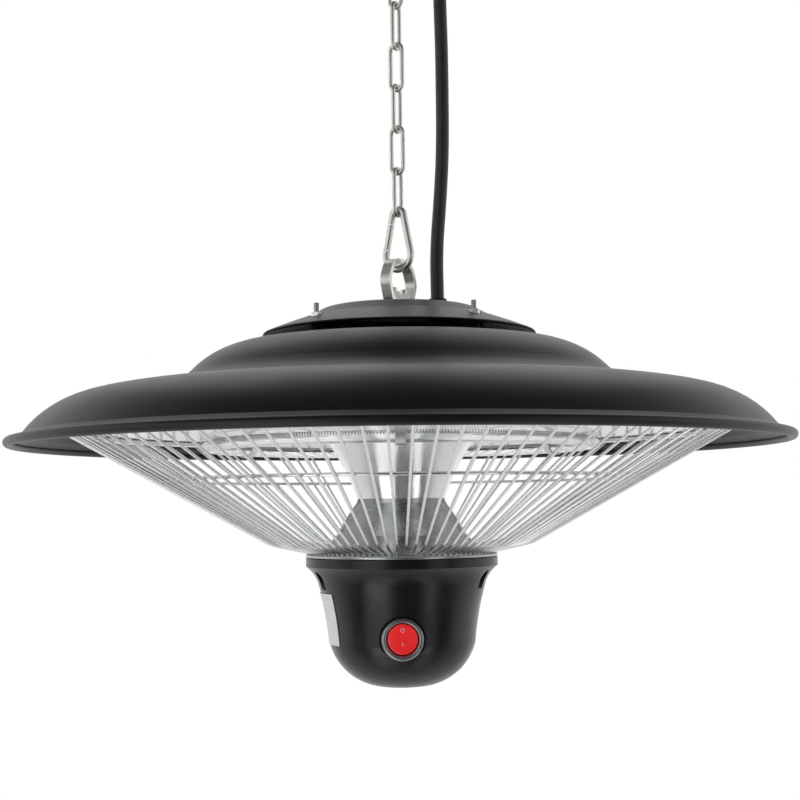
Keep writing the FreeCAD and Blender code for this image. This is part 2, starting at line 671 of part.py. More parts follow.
def hood_outline():
    """The hood's outside, from its vent down to where its sheet rolls into the bead."""
    vent = at_rim(VENT_R, PLATEAU_H)
    shoulder = at_rim(SHOULDER_R, PLATEAU_H)
    foot = at_rim(DOME_FOOT_R, DOME_FOOT_H)
    crease = at_rim(SHELF_R, SHELF_H)
    flare_turn = math.atan2(DOME_FOOT_RISE, DOME_FOOT_RUN)
    flare_r = FLARE_SHARE * foot.distanceToPoint(crease) / math.tan(flare_turn / 2)
    flare = corner_arc(foot, crease, crease + V(1, 0, 0), flare_r)
    shelf = flare[2]
    skirt = at_rim(SKIRT_R, SKIRT_H)
    run = skirt.x - shelf.x
    shelf_curve = (run ** 2 + SHELF_RISE ** 2) / (2 * SHELF_RISE)
    half_turn = math.asin(run / shelf_curve) / 2
    shelf_mid = shelf + V(math.sin(half_turn), 0, math.cos(half_turn) - 1) * shelf_curve
    lip = at_rim(LIP_R, LIP_H)
    back = bead_back(lip)
    outside = V(-back.z, 0, back.x)
    reach = math.sqrt(BEAD_R ** 2 - SHEET ** 2 / 4)
    bead = bead_middle() + back * reach - outside * (SHEET / 2)
    return [
        line(vent, shoulder),
        arc(shoulder, at_rim(DOME_MID_R, DOME_MID_H), foot),
        line(foot, flare[0]),
        arc(*flare),
        arc(shelf, shelf_mid, skirt),
        arc(skirt, at_rim(SKIRT_MID_R, SKIRT_MID_H), lip),
        line(lip, bead),
    ]


def make_hood():
    """Spun two-tier hood with a rolled rim, and the crossed bars under its vent."""
    tip = bead_middle() - bead_back(at_rim(LIP_R, LIP_H)) * BEAD_R
    sheet = spun_sheet(hood_outline(), -SHEET, tip)
    screw_hole = Part.makeCylinder(CAP_SCREW_R + BORE_GAP, CAP_TOP_H, at_rim(CAP_SCREW_PCR, 0))
    holes = around(screw_hole, CAP_SCREWS, CAP_SCREW_TURN)
    parts["hood"] = sheet.cut(holes)

    length = 2 * (CAP_SCREW_PCR + SPIDER_OVER)
    base_z = RIM_Z + PLATEAU_H - SHEET - SPIDER_T
    bar = Part.makeBox(length, SPIDER_W, SPIDER_T, V(-length / 2, -SPIDER_W / 2, base_z))
    spider = turned(bar, CAP_SCREW_TURN).fuse(turned(bar, CAP_SCREW_TURN + 90)).removeSplitter()
    spider = spider.cut(holes)
    parts["support_spider"] = spider.cut(Part.makeCylinder(TUBE_R + BORE_GAP, SPIDER_T, V(0, 0, base_z)))


def dish_outline():
    """The underside of the reflector dish, from its bore out to its edge."""
    top = at_rim(DISH_TOP_R, DISH_TOP_H)
    knee = at_rim(DISH_KNEE_R, DISH_KNEE_H)
    flange = at_rim(DISH_FLANGE_R, DISH_FLANGE_H)
    return [
        line(at_rim(DISH_BORE_R, DISH_TOP_H), top),
        line(top, knee),
        arc(knee, at_rim(DISH_MID_R, DISH_MID_H), flange),
        line(flange, at_rim(DISH_R, DISH_FLANGE_H)),
    ]


def make_reflector():
    """Polished dish under the hood, hung on studs with spacers, and the clips of the guard."""
    dish = spun_sheet(dish_outline(), DISH_SHEET)
    tab_h = DISH_FLANGE_H - CLIP_T
    stud_hole = Part.makeCylinder(STUD_R + BORE_GAP, SKIRT_H, at_rim(STUD_PCR, tab_h))
    parts["reflector"] = dish.cut(around(stud_hole, STUDS, STUD_TURN))

    above = spun_above(beside(hood_outline()[-3:], -SHEET - SEAT_GAP).Edges)
    foot_h = tab_h - CLIP_NUT_T - STUD_STUB
    stud = Part.makeCylinder(STUD_R, 2 * SKIRT_H, at_rim(STUD_PCR, foot_h)).cut(above)
    spacer_base = at_rim(STUD_PCR, DISH_FLANGE_H + DISH_SHEET)
    spacer = tube(STUD_SPACER_R, STUD_R + BORE_GAP, SKIRT_H, spacer_base).cut(above)
    nut = hexagon(CLIP_NUT_FLATS, CLIP_NUT_T, at_rim(STUD_PCR, tab_h - CLIP_NUT_T), STUD_R + SEAT_GAP)
    parts["reflector_studs"] = around(stud, STUDS, STUD_TURN)
    parts["reflector_spacers"] = around(spacer, STUDS, STUD_TURN)
    parts["clip_nuts"] = around(nut, STUDS, STUD_TURN)

    wall_r = TOP_RING_AT - TOP_RING_R - SEAT_GAP
    shelf_h = TOP_RING_H - TOP_RING_R - SEAT_GAP
    outline = [
        at_rim(wall_r - CLIP_TAB, DISH_FLANGE_H),
        at_rim(wall_r, DISH_FLANGE_H),
        at_rim(wall_r, shelf_h),
        at_rim(TOP_RING_AT + TOP_RING_R, shelf_h),
        at_rim(TOP_RING_AT + TOP_RING_R, shelf_h - CLIP_T),
        at_rim(wall_r - CLIP_T, shelf_h - CLIP_T),
        at_rim(wall_r - CLIP_T, tab_h),
        at_rim(wall_r - CLIP_TAB, tab_h),
        at_rim(wall_r - CLIP_TAB, DISH_FLANGE_H),
    ]
    clip = Part.Face(Part.makePolygon(outline)).extrude(V(0, CLIP_W, 0))
    clip.translate(V(0, -CLIP_W / 2, 0))
    parts["guard_clips"] = around(clip.cut(stud_hole), STUDS, STUD_TURN)


def make_guard():
    """Bent wires welded over a top ring and a middle ring, on a foot ring."""
    top_h = CONE_H + (WIRE_TOP_R - CONE_R) * math.tan(CONE_SLOPE)
    points = [at_rim(WIRE_TOP_R, top_h), at_rim(CONE_FOOT_R, CONE_FOOT_H), at_rim(WIRE_FOOT_R, WIRE_FOOT_H)]
    wire = bent_rod(points, [WIRE_BEND_R], WIRE_R)
    half_step = 180.0 / WIRES
    parts["guard_wires"] = around(wire, WIRES, half_step - 90)
    parts["guard_top_ring"] = Part.makeTorus(TOP_RING_AT, TOP_RING_R, V(0, 0, RIM_Z + TOP_RING_H), UP)
    off = WIRE_R + MID_RING_R + SEAT_GAP
    mid_h = CONE_H + (MID_RING_AT - CONE_R) * math.tan(CONE_SLOPE) + off * math.cos(CONE_SLOPE)
    mid_r = MID_RING_AT - off * math.sin(CONE_SLOPE)
    parts["guard_mid_ring"] = Part.makeTorus(mid_r, MID_RING_R, V(0, 0, RIM_Z + mid_h), UP)
    parts["guard_bottom_ring"] = Part.makeTorus(FOOT_RING_AT, FOOT_RING_R, V(0, 0, RIM_Z + FOOT_RING_H), UP)


def make_core():
    """Waisted core of two spun pieces, and the tube through it that carries the housing."""
    base_h = FLANGE_H + SEAT_GAP
    rise_h = base_h + BELL_BASE_T
    waist = at_rim(WAIST_R, WAIST_H)
    inner_waist = at_rim(WAIST_R - CORE_SHEET, WAIST_H)
    inner_mid = at_rim(BELL_MID_R - CORE_SHEET, BELL_MID_H - CORE_SHEET)
    bell = spun([
        line(at_rim(BELL_BASE_IN, base_h), at_rim(BELL_R, base_h)),
        line(at_rim(BELL_R, base_h), at_rim(BELL_R, rise_h)),
        arc(at_rim(BELL_R, rise_h), at_rim(BELL_MID_R, BELL_MID_H), waist),
        line(waist, inner_waist),
        arc(inner_waist, inner_mid, at_rim(BELL_BASE_IN, rise_h)),
        line(at_rim(BELL_BASE_IN, rise_h), at_rim(BELL_BASE_IN, base_h)),
    ])
    screw_hole = Part.makeCylinder(HOUSING_SCREW_R + SEAT_GAP, BELL_BASE_T, at_rim(POCKET_AT, base_h))
    parts["lower_bell"] = bell.cut([turned(screw_hole, angle - 90) for angle in POCKETS])

    foot_h = WAIST_H + SEAT_GAP
    top_h = DISH_TOP_H - SEAT_GAP
    under_h = top_h - CORE_SHEET
    parts["upper_cone"] = spun([
        arc(at_rim(WAIST_R, foot_h), at_rim(UPPER_MID_R, UPPER_MID_H), at_rim(CONE_TOP_R, under_h)),
        line(at_rim(CONE_TOP_R, under_h), at_rim(CONE_FLANGE_R, under_h)),
        line(at_rim(CONE_FLANGE_R, under_h), at_rim(CONE_FLANGE_R, top_h)),
        line(at_rim(CONE_FLANGE_R, top_h), at_rim(CONE_TOP_R - CORE_SHEET, top_h)),
        arc(at_rim(CONE_TOP_R - CORE_SHEET, top_h),
            at_rim(UPPER_MID_R - CORE_SHEET, UPPER_MID_H + CORE_SHEET),
            at_rim(WAIST_R - CORE_SHEET, foot_h)),
        line(at_rim(WAIST_R - CORE_SHEET, foot_h), at_rim(WAIST_R, foot_h)),
    ])

    spider_h = PLATEAU_H - SHEET
    nut_h = FLANGE_H - LID_T - TUBE_NUT_T
    low_h = nut_h - TUBE_STUB
    high_h = spider_h + TUBE_NUT_T + TUBE_STUB
    parts["centre_tube"] = tube(TUBE_R, TUBE_BORE_R, high_h - low_h, at_rim(0, low_h))
    low_nut = hexagon(TUBE_NUT_FLATS, TUBE_NUT_T, at_rim(0, nut_h), TUBE_R + SEAT_GAP)
    high_nut = hexagon(TUBE_NUT_FLATS, TUBE_NUT_T, at_rim(0, spider_h), TUBE_R + SEAT_GAP)
    parts["tube_nuts"] = Part.makeCompound([low_nut, high_nut])


def ring_part(radius, inner, span_deg, start_deg):
    """Part of a horizontal round tube ring at the lamp's radius and height."""
    centre = V(0, 0, RIM_Z + LAMP_H)
    section = Part.makeCircle(radius, V(LAMP_AT, 0, centre.z), V(0, 1, 0))
    face = Part.Face(Part.Wire(section))
    if inner:
        bore = Part.makeCircle(inner, V(LAMP_AT, 0, centre.z), V(0, 1, 0))
        face = face.cut(Part.Face(Part.Wire(bore)))
    return turned(face.revolve(centre, UP, span_deg), start_deg)


def make_lamp():
    """Ring-shaped quartz heater with ceramic ends, hung under the dish in three clips."""
    start = 90 + LAMP_GAP_DEG / 2
    span = 360 - LAMP_GAP_DEG
    parts["lamp_tube"] = ring_part(LAMP_R, LAMP_R - LAMP_WALL, span, start)
    coil_start = start - LAMP_LEAD_DEG
    coil_span = span + 2 * LAMP_LEAD_DEG
    parts["lamp_filament"] = ring_part(FILAMENT_R, 0, coil_span, coil_start)
    tube_room = ring_part(LAMP_R + BORE_GAP, 0, span, start)
    coil_room = ring_part(FILAMENT_R + BORE_GAP, 0, coil_span, coil_start)
    caps = []
    for first in (start + LAMP_SOCKET_DEG - LAMP_CAP_DEG, start + span - LAMP_SOCKET_DEG):
        cap = ring_part(LAMP_CAP_R, 0, LAMP_CAP_DEG, first)
        caps.append(cap.cut([tube_room, coil_room]))
    parts["lamp_end_caps"] = Part.makeCompound(caps)

    hoop_r = LAMP_R + BORE_GAP
    half_w = LAMP_CLIP_W / 2
    hoop_base = at_rim(LAMP_AT, LAMP_H) - V(0, half_w, 0)
    hoop = tube(hoop_r + LAMP_CLIP_T, hoop_r, LAMP_CLIP_W, hoop_base, V(0, 1, 0))
    stem_base = at_rim(LAMP_AT - LAMP_STEM_W / 2, LAMP_H + hoop_r + LAMP_CLIP_T / 2) - V(0, half_w, 0)
    stem = Part.makeBox(LAMP_STEM_W, LAMP_CLIP_W, DISH_TOP_H, stem_base)
    clip = hoop.fuse(stem).cut(spun_above(dish_outline()[1:3]).translated(UP * -SEAT_GAP))
    parts["lamp_clips"] = around(clip, LAMP_CLIPS, -90)


def housing_outline(inset):
    """The housing's outside, or its inside with the wall taken off."""
    top = at_rim(FLANGE_R - inset, FLANGE_H)
    flange = at_rim(FLANGE_R - inset, FLANGE_H - FLANGE_T)
    neck = at_rim(NECK_R - inset, FLANGE_H - NECK_DROP)
    side = at_rim(SIDE_R - inset, FLANGE_H - SIDE_DROP)
    slant = inset / math.sqrt(2)
    corner = at_rim(CORNER_MID_R - slant, FLANGE_H - CORNER_MID_DROP + slant)
    base = at_rim(BASE_R - slant, FLANGE_H - BASE_DROP + inset)
    tip = at_rim(TIP_R, FLANGE_H - TIP_DROP + inset)
    foot = at_rim(0, FLANGE_H - TIP_DROP + inset)
    return [
        line(at_rim(0, FLANGE_H), top),
        line(top, flange),
        bow(flange, neck, NECK_HOLLOW),
        bow(neck, side, SIDE_HOLLOW),
        arc(side, corner, base),
        bow(base, tip, -BASE_BULGE),
        line(tip, foot),
        line(foot, at_rim(0, FLANGE_H)),
    ]


def make_housing():
    """Black moulded cup with a lid, screw pockets under its flange and a flat for the switch."""
    outer = spun(housing_outline(0))
    inner = spun(housing_outline(WALL))
    ledge_h = FLANGE_H - LID_T - SEAT_GAP
    low_h = ledge_h - LID_LEDGE
    collar = tube(FLANGE_R, MOUTH_R, FLANGE_H - low_h, at_rim(0, low_h)).common(outer)
    ledge = tube(FLANGE_R, MOUTH_R - LID_LEDGE, LID_LEDGE, at_rim(0, low_h)).common(outer)
    pad_from = V(0, SWITCH_FLAT_Y + SWITCH_PAD_T, SWITCH_Z)
    pad = Part.makeCylinder(SWITCH_RECESS_R + WALL, SWITCH_RECESS_R, pad_from, FRONT).common(outer)
    boss_l = ledge_h - (FLANGE_H - POCKET_ROOF - POCKET_DEPTH)
    boss = Part.makeCylinder(POCKET_R + POCKET_WALL, boss_l, at_rim(POCKET_AT, ledge_h - boss_l))
    bosses = [turned(boss, angle - 90).common(outer) for angle in POCKETS]
    shell = outer.cut(inner).multiFuse([collar, ledge, pad] + bosses)
    pocket_base = at_rim(POCKET_AT, FLANGE_H - POCKET_ROOF - POCKET_DEPTH)
    pocket = Part.makeCylinder(POCKET_R, POCKET_DEPTH, pocket_base)
    roof = at_rim(POCKET_AT, FLANGE_H - POCKET_ROOF)
    bore = Part.makeCylinder(HOUSING_SCREW_R + BORE_GAP, POCKET_ROOF, roof)
    holes = [turned(pocket.fuse(bore), angle - 90) for angle in POCKETS]
    holes.append(Part.makeCylinder(SWITCH_RECESS_R, FLANGE_R, V(0, SWITCH_FLAT_Y, SWITCH_Z), FRONT))
    holes.append(Part.makeCylinder(SWITCH_BODY_R + BORE_GAP, FLANGE_R, V(0, 0, SWITCH_Z), FRONT))
    parts["control_housing"] = shell.cut(holes).removeSplitter()

    parts["housing_lid"] = tube(MOUTH_R - BORE_GAP, TUBE_R + BORE_GAP, LID_T, at_rim(0, FLANGE_H - LID_T))

    under_h = FLANGE_H - POCKET_ROOF
    reach = FLANGE_H + SEAT_GAP + BELL_BASE_T - under_h
    screw = Part.makeCylinder(HOUSING_SCREW_R, reach, at_rim(POCKET_AT, under_h))
    head_base = at_rim(POCKET_AT, under_h - HOUSING_SCREW_HEAD_T)
    screw = screw.fuse(Part.makeCylinder(HOUSING_SCREW_HEAD_R, HOUSING_SCREW_HEAD_T, head_base))
    parts["housing_screws"] = Part.makeCompound([turned(screw, angle - 90) for angle in POCKETS])


def make_switch():
    """Round rocker switch: body with its bezel, rocker on a cross pin, and two blades."""
    face = V(0, SWITCH_FLAT_Y, SWITCH_Z)
    inward = V(0, 1, 0)
    bezel = Part.makeCylinder(BEZEL_R, BEZEL_T, face - inward * SEAT_GAP, FRONT)
    body = Part.makeCylinder(SWITCH_BODY_R, SWITCH_BODY_L + SEAT_GAP, face - inward * SEAT_GAP, inward)
    bore_from = face - inward * (BEZEL_T + SEAT_GAP)
    bore = Part.makeCylinder(SWITCH_BORE_R, SWITCH_BORE_L, bore_from, inward)
    body = bezel.fuse(body).cut(bore).removeSplitter()
    pivot = bore_from + inward * (ROCKER_SINK + ROCKER_T / 2)
    side = V(1, 0, 0)
    pin_half = SWITCH_BODY_R - BORE_GAP
    pin_from = pivot - side * pin_half
    body = body.cut(Part.makeCylinder(ROCKER_PIN_R + SEAT_GAP, 2 * pin_half, pin_from, side))
    rocker = Part.makeCylinder(ROCKER_R, ROCKER_T, pivot - inward * (ROCKER_T / 2), inward)
    rocker = rocker.cut(Part.makeCylinder(ROCKER_PIN_R + SEAT_GAP, 2 * pin_half, pin_from, side))
    rocker.rotate(pivot, side, -ROCKER_TILT)
    parts["switch_body"] = body
    parts["switch_rocker"] = rocker
    parts["rocker_pin"] = Part.makeCylinder(ROCKER_PIN_R, 2 * pin_half, pin_from, side)
    back = face + inward * SWITCH_BODY_L
    blade = Part.makeBox(BLADE_T, BLADE_L, BLADE_W, back - V(BLADE_T / 2, 0, BLADE_W / 2))
    parts["switch_blades"] = Part.makeCompound([blade.translated(V(x, 0, 0)) for x in (-BLADE_AT, BLADE_AT)])
    print("rocker pivot", pivot)


def lead_tube(points):
    """A tube of the lead through points, with each arc as large as its runs allow."""
    radii = []
    for before, corner, after in zip(points, points[1:], points[2:]):
        shorter = min(before.distanceToPoint(corner), corner.distanceToPoint(after))
        turn = math.pi - (before - corner).getAngle(after - corner)
        radii.append(0.45 * shorter / math.tan(turn / 2))
    path = bent_path(points, radii)
    section = Part.Wire(Part.makeCircle(LEAD_R, points[0], points[1] - points[0]))
    solid = path.makePipeShell([section], True, False)
    plain = math.pi * LEAD_R ** 2 * path.Length
    print("lead radii", [round(r) for r in radii], "length", round(path.Length, 1),
          "volume ratio", round(solid.Volume / plain, 4))
    return solid


def make_lead():
    """The mains lead in two stretches, its strain relief in the cap and the block it ends at."""
    foot = V(LEAD_BOTTOM_X, LEAD_Y, CAP_TOP_Z - BUSH_FOOT)
    join = V(LEAD_JOIN[0], LEAD_JOIN[1], CAP_TOP_Z + LEAD_JOIN[2])
    lower = [V(x, y, CAP_TOP_Z + z) for x, y, z in LEAD_LOWER_ROUTE]
    onward = join + (join - lower[-1]).normalize() * LEAD_JOIN_RUN
    upper = V(LEAD_UPPER_BEND[0], LEAD_UPPER_BEND[1], CAP_TOP_Z + LEAD_UPPER_BEND[2])
    bush_top = V(LEAD_BOTTOM_X, LEAD_Y, CAP_TOP_Z + BUSH_RISE)
    ceiling_bush = V(LEAD_TOP_X, LEAD_Y, CEILING_BUSH_Z)
    parts["lead_lower"] = lead_tube([foot, bush_top] + lower + [join])
    parts["lead_upper"] = lead_tube([join, onward, upper, ceiling_bush, V(LEAD_TOP_X, LEAD_Y, -SEAT_GAP)])

    cap_spot = V(LEAD_BOTTOM_X, LEAD_Y, CAP_TOP_Z)
    bush = Part.makeCylinder(BUSH_ROOT_R, BUSH_FOOT, foot)
    bush = bush.fuse(Part.makeCylinder(BUSH_FLANGE_R, BUSH_FLANGE_T, cap_spot))
    bush = bush.fuse(Part.makeCone(BUSH_ROOT_R, BUSH_TIP_R, BUSH_RISE, cap_spot))
    bore = Part.makeCylinder(LEAD_R + BORE_GAP, BUSH_FOOT + BUSH_RISE, foot)
    parts["cord_bush"] = bush.cut(bore).removeSplitter()

    length, width, height = BLOCK_SIZE
    block_z = RIM_Z + PLATEAU_H - SHEET
    block = Part.makeBox(length, width, height, V(BLOCK_AT[0] - length / 2, BLOCK_AT[1] - width / 2, block_z))
    parts["terminal_block"] = turned(block, CAP_SCREW_TURN)


for make in (make_ceiling_set, make_chain, make_snap_hook, make_hanger, make_cap, make_hood, make_reflector,
             make_guard, make_core, make_lamp, make_housing, make_switch, make_lead):
    make()

os.makedirs("parts", exist_ok=True)
for name, shape in parts.items():
    shape.exportStep(f"parts/{name}.step")
    print(name, len(shape.Solids), "valid" if shape.isValid() else "not valid", round(shape.Volume, 1))
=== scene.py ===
# %% [markdown]
# # A hanging patio heater, dressed in Blender
#
# The imported model brings every rigid piece in its true size and place: hood, guard, core, housing, chain and
# ceiling plate. This notebook gives those pieces their finishes, makes the soft and finely detailed pieces that
# the solids leave plain, and sets a camera at the reference viewpoint.

# %% Load the imported model
import json
import math

import bpy
from mathutils import Matrix, Vector


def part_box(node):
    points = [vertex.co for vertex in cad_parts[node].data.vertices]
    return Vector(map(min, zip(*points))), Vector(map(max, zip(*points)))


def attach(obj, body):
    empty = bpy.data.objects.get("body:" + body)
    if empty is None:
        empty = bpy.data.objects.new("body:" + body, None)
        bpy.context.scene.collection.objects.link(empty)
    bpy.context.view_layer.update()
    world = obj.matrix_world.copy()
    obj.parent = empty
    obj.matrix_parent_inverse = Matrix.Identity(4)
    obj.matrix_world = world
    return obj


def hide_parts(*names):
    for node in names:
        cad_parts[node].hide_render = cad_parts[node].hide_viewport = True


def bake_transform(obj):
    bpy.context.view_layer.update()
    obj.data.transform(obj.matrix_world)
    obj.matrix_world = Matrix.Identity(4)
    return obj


RIM_ROLL = 0.0016

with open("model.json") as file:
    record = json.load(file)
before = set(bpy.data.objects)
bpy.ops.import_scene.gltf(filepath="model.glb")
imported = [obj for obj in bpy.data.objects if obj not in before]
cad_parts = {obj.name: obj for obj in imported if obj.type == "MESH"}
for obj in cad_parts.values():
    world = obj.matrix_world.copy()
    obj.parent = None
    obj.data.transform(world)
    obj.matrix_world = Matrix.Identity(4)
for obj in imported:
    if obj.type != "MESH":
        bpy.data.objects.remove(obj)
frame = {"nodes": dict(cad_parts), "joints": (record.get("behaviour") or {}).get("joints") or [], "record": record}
nodes = frame["nodes"]
scene = bpy.context.scene
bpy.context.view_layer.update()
RIM_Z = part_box("hood")[0].z + RIM_ROLL
CAP_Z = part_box("top_cap")[1].z
print("rim", round(RIM_Z, 4), "cap top", round(CAP_Z, 4), "nodes", len(nodes))

# %% [markdown]
# ## The camera
#
# The reference was taken from a little below the rim, less than a metre away, with the lens tipped up by
# about four degrees. The heater hangs level, so the small lean of the rim in the picture is a roll of the
# camera. A longer lens from further off could frame the same width, but the wide ellipse of the rim and
# the strong taper of the guard only come right from this close.

# %% Camera
PICTURE = 800.0
LENS_PIXELS = 1417.0
SENSOR = 36.0
NEAREST = 0.05
CAMERA_BACK = 0.786
CAMERA_DROP = 0.035
PITCH = math.radians(4.35)
ROLL = math.radians(-0.65)

camera_data = bpy.data.cameras.new("camera")
camera_data.sensor_width = SENSOR
camera_data.lens = LENS_PIXELS / PICTURE * SENSOR
camera_data.clip_start = NEAREST
camera = bpy.data.objects.new("camera", camera_data)
scene.collection.objects.link(camera)
aim = Matrix.Rotation(math.pi / 2 + PITCH, 4, "X") @ Matrix.Rotation(ROLL, 4, "Z")
camera.matrix_world = Matrix.Translation((0, -CAMERA_BACK, RIM_Z - CAMERA_DROP)) @ aim
bpy.context.scene.camera = camera
print("lens", round(camera_data.lens, 2), "mm")

# %% [markdown]
# ## Black paint
#
# The hood is powder coated in satin black. One flat black would look like a hole in the picture, because
# real powder coat has a fine orange peel and a bloom that is never quite even. Every finish here starts
# from the Principled shader. What is the same all over is set on the shader's own socket, and what varies
# comes from noise on Object coordinates, which stay with the piece when it moves.

# %% A new finish
SHADER = "Principled BSDF"


def new_finish(name, **sockets):
    """A material with a Principled shader whose sockets are set to plain values."""
    finish = bpy.data.materials.new(name)
    finish.use_nodes = True
    shader = finish.node_tree.nodes[SHADER]
    for socket, value in sockets.items():
        shader.inputs[socket.replace("_", " ")].default_value = value
    return finish


paint = new_finish("satin_black_paint", Specular_IOR_Level=0.4)
print(paint.name, "starts with nodes", len(paint.node_tree.nodes))

# %% Tone and gloss of the paint
JET_TONES = (0.0040, 0.0042, 0.0045), (0.0065, 0.0068, 0.0072)


def noise(finish, scale, detail=3.0, stretch=(1, 1, 1)):
    """Noise on Object coordinates, stretched along the axes where asked."""
    tree = finish.node_tree
    place = tree.nodes.new("ShaderNodeTexCoord")
    mapping = tree.nodes.new("ShaderNodeMapping")
    mapping.inputs["Scale"].default_value = stretch
    texture = tree.nodes.new("ShaderNodeTexNoise")
    texture.inputs["Scale"].default_value = scale
    texture.inputs["Detail"].default_value = detail
    tree.links.new(place.outputs["Object"], mapping.inputs["Vector"])
    tree.links.new(mapping.outputs["Vector"], texture.inputs["Vector"])
    return texture.outputs["Fac"]


def vary(finish, socket, source, low, high, start=0.3, end=0.7):
    """Let a noise run one socket of the shader from a low tone or value to a high one."""
    tree = finish.node_tree
    node = tree.nodes.new("ShaderNodeValToRGB")
    for element, position, value in zip(node.color_ramp.elements, (start, end), (low, high)):
        element.position = position
        shade = (value, value, value) if isinstance(value, float) else value
        element.color = (*shade, 1)
    tree.links.new(source, node.inputs["Fac"])
    tree.links.new(node.outputs["Color"], tree.nodes[SHADER].inputs[socket])


vary(paint, "Base Color", noise(paint, 14, 4), *JET_TONES, start=0.35)
vary(paint, "Roughness", noise(paint, 40), 0.39, 0.42)
print(paint.name, "varies with nodes", len(paint.node_tree.nodes))

# %% Orange peel of the paint
def raise_grain(finish, source, strength, depth):
    """Let a noise raise and lower the surface a little."""
    tree = finish.node_tree
    node = tree.nodes.new("ShaderNodeBump")
    node.inputs["Strength"].default_value = strength
    node.inputs["Distance"].default_value = depth
    tree.links.new(source, node.inputs["Height"])
    tree.links.new(node.outputs["Normal"], tree.nodes[SHADER].inputs["Normal"])


raise_grain(paint, noise(paint, 1600, 2), strength=0.12, depth=0.0002)
print(paint.name, "is done with nodes", len(paint.node_tree.nodes))

# %% [markdown]
# ## Bright metals
#
# The chain and screws are zinc plated: a warm grey with cloudy patches and fine scratches. The guard is chrome
# plated wire, slightly wavy under the plating. The dish and the upper cone are polished sheet, nearly a mirror,
# with soft dents from forming that mottle what it reflects. The lower bell is satin steel, darker and less of a
# mirror, and the foot ring of the guard, chrome wire like the rest, is given the same darker steel, which dims the
# bright line it would show. All are plain metals, so each is told from the others mostly by its gloss.

# %% Bright metals
zinc = new_finish("zinc_plate", Metallic=1.0)
vary(zinc, "Base Color", noise(zinc, 160, 4), (0.74, 0.72, 0.67), (0.88, 0.86, 0.81))
vary(zinc, "Roughness", noise(zinc, 420), 0.32, 0.46)
raise_grain(zinc, noise(zinc, 900), strength=0.1, depth=0.0002)

chrome = new_finish("chrome_wire", Metallic=1.0, Base_Color=(0.80, 0.81, 0.82, 1))
vary(chrome, "Roughness", noise(chrome, 300, 2), 0.2, 0.3)
raise_grain(chrome, noise(chrome, 350, 2), strength=0.06, depth=0.0002)

polished = new_finish("polished_sheet", Metallic=1.0)
vary(polished, "Base Color", noise(polished, 30), (0.84, 0.85, 0.85), (0.90, 0.91, 0.91))
vary(polished, "Roughness", noise(polished, 60, 4), 0.10, 0.2)
raise_grain(polished, noise(polished, 45, 2), strength=0.25, depth=0.0008)

satin_steel = new_finish("satin_steel", Metallic=1.0)
vary(satin_steel, "Base Color", noise(satin_steel, 40), (0.40, 0.41, 0.415), (0.47, 0.48, 0.485))
vary(satin_steel, "Roughness", noise(satin_steel, 70, 4, (1, 1, 8)), 0.22, 0.32)
print("metals", [finish.name for finish in (zinc, chrome, polished, satin_steel)])

# %% [markdown]
# ## Plastic and rubber
#
# The housing is moulded in black plastic with a fine spark grain, and the lead is matt rubber with a dusty bloom.
# The rocker is clear red plastic, glossy and a little uneven in depth. It also gets a faint painted glow, an
# emission that brightens its red although it is no lamp.

# %% Plastic and rubber
plastic = new_finish("black_plastic", Specular_IOR_Level=0.38)
vary(plastic, "Base Color", noise(plastic, 25), *JET_TONES)
vary(plastic, "Roughness", noise(plastic, 90), 0.24, 0.32)
raise_grain(plastic, noise(plastic, 2200, 2), strength=0.08, depth=0.0001)

# The emission is a painted glow that brightens the red; the rocker is no lamp.
red = new_finish("red_plastic", Roughness=0.22, Coat_Weight=0.4, Coat_Roughness=0.1,
                 Emission_Color=(0.9, 0.02, 0.025, 1), Emission_Strength=0.15)
vary(red, "Base Color", noise(red, 120, 2), (0.76, 0.014, 0.016), (0.88, 0.024, 0.024))
raise_grain(red, noise(red, 800, 2), strength=0.03, depth=0.0001)

rubber = new_finish("black_rubber", Specular_IOR_Level=0.45)
vary(rubber, "Base Color", noise(rubber, 70, 4), (0.012, 0.0125, 0.013), (0.022, 0.023, 0.024))
vary(rubber, "Roughness", noise(rubber, 200), 0.36, 0.5)
raise_grain(rubber, noise(rubber, 1500, 2), strength=0.1, depth=0.0002)
print("soft finishes", [finish.name for finish in (plastic, red, rubber)])

# %% [markdown]
# ## The lamp's materials
#
# The heater lamp is a clear quartz tube, drawn with slight ripples, between unglazed white ceramic caps.
# Its wire is grey and faintly blue where it has been hot. The quartz lets all light through, so the coil
# inside is seen for real and needs no painted stripe.

# %% Lamp materials
ceramic = new_finish("white_ceramic", Roughness=0.62)
vary(ceramic, "Base Color", noise(ceramic, 200, 4), (0.74, 0.72, 0.67), (0.84, 0.82, 0.78))
raise_grain(ceramic, noise(ceramic, 1400), strength=0.15, depth=0.0002)

quartz = new_finish("quartz", Transmission_Weight=1.0, IOR=1.46)
vary(quartz, "Base Color", noise(quartz, 120), (0.95, 0.96, 0.96), (0.98, 0.98, 0.98))
vary(quartz, "Roughness", noise(quartz, 150), 0.02, 0.08)

hot_wire = new_finish("heater_coil", Metallic=1.0, Roughness=0.42)
vary(hot_wire, "Base Color", noise(hot_wire, 90), (0.26, 0.25, 0.245), (0.36, 0.36, 0.38))
print("lamp finishes", [finish.name for finish in (ceramic, quartz, hot_wire)])

# %% [markdown]
# ## Small fittings
#
# The switch has brass blades with a dull skin, a blued steel pin and a glossy grey rim with a hair of
# waviness from its mould. The plate on the housing is brushed silver sheet: noise stretched along one axis
# gives the brush marks, without drawing a single scratch.

# %% Small fittings
brass = new_finish("brass", Metallic=1.0, Roughness=0.35)
vary(brass, "Base Color", noise(brass, 140), (0.62, 0.46, 0.20), (0.74, 0.58, 0.28))

dark_steel = new_finish("dark_steel", Metallic=1.0, Roughness=0.45)
vary(dark_steel, "Base Color", noise(dark_steel, 200), (0.02, 0.02, 0.023), (0.04, 0.04, 0.045))

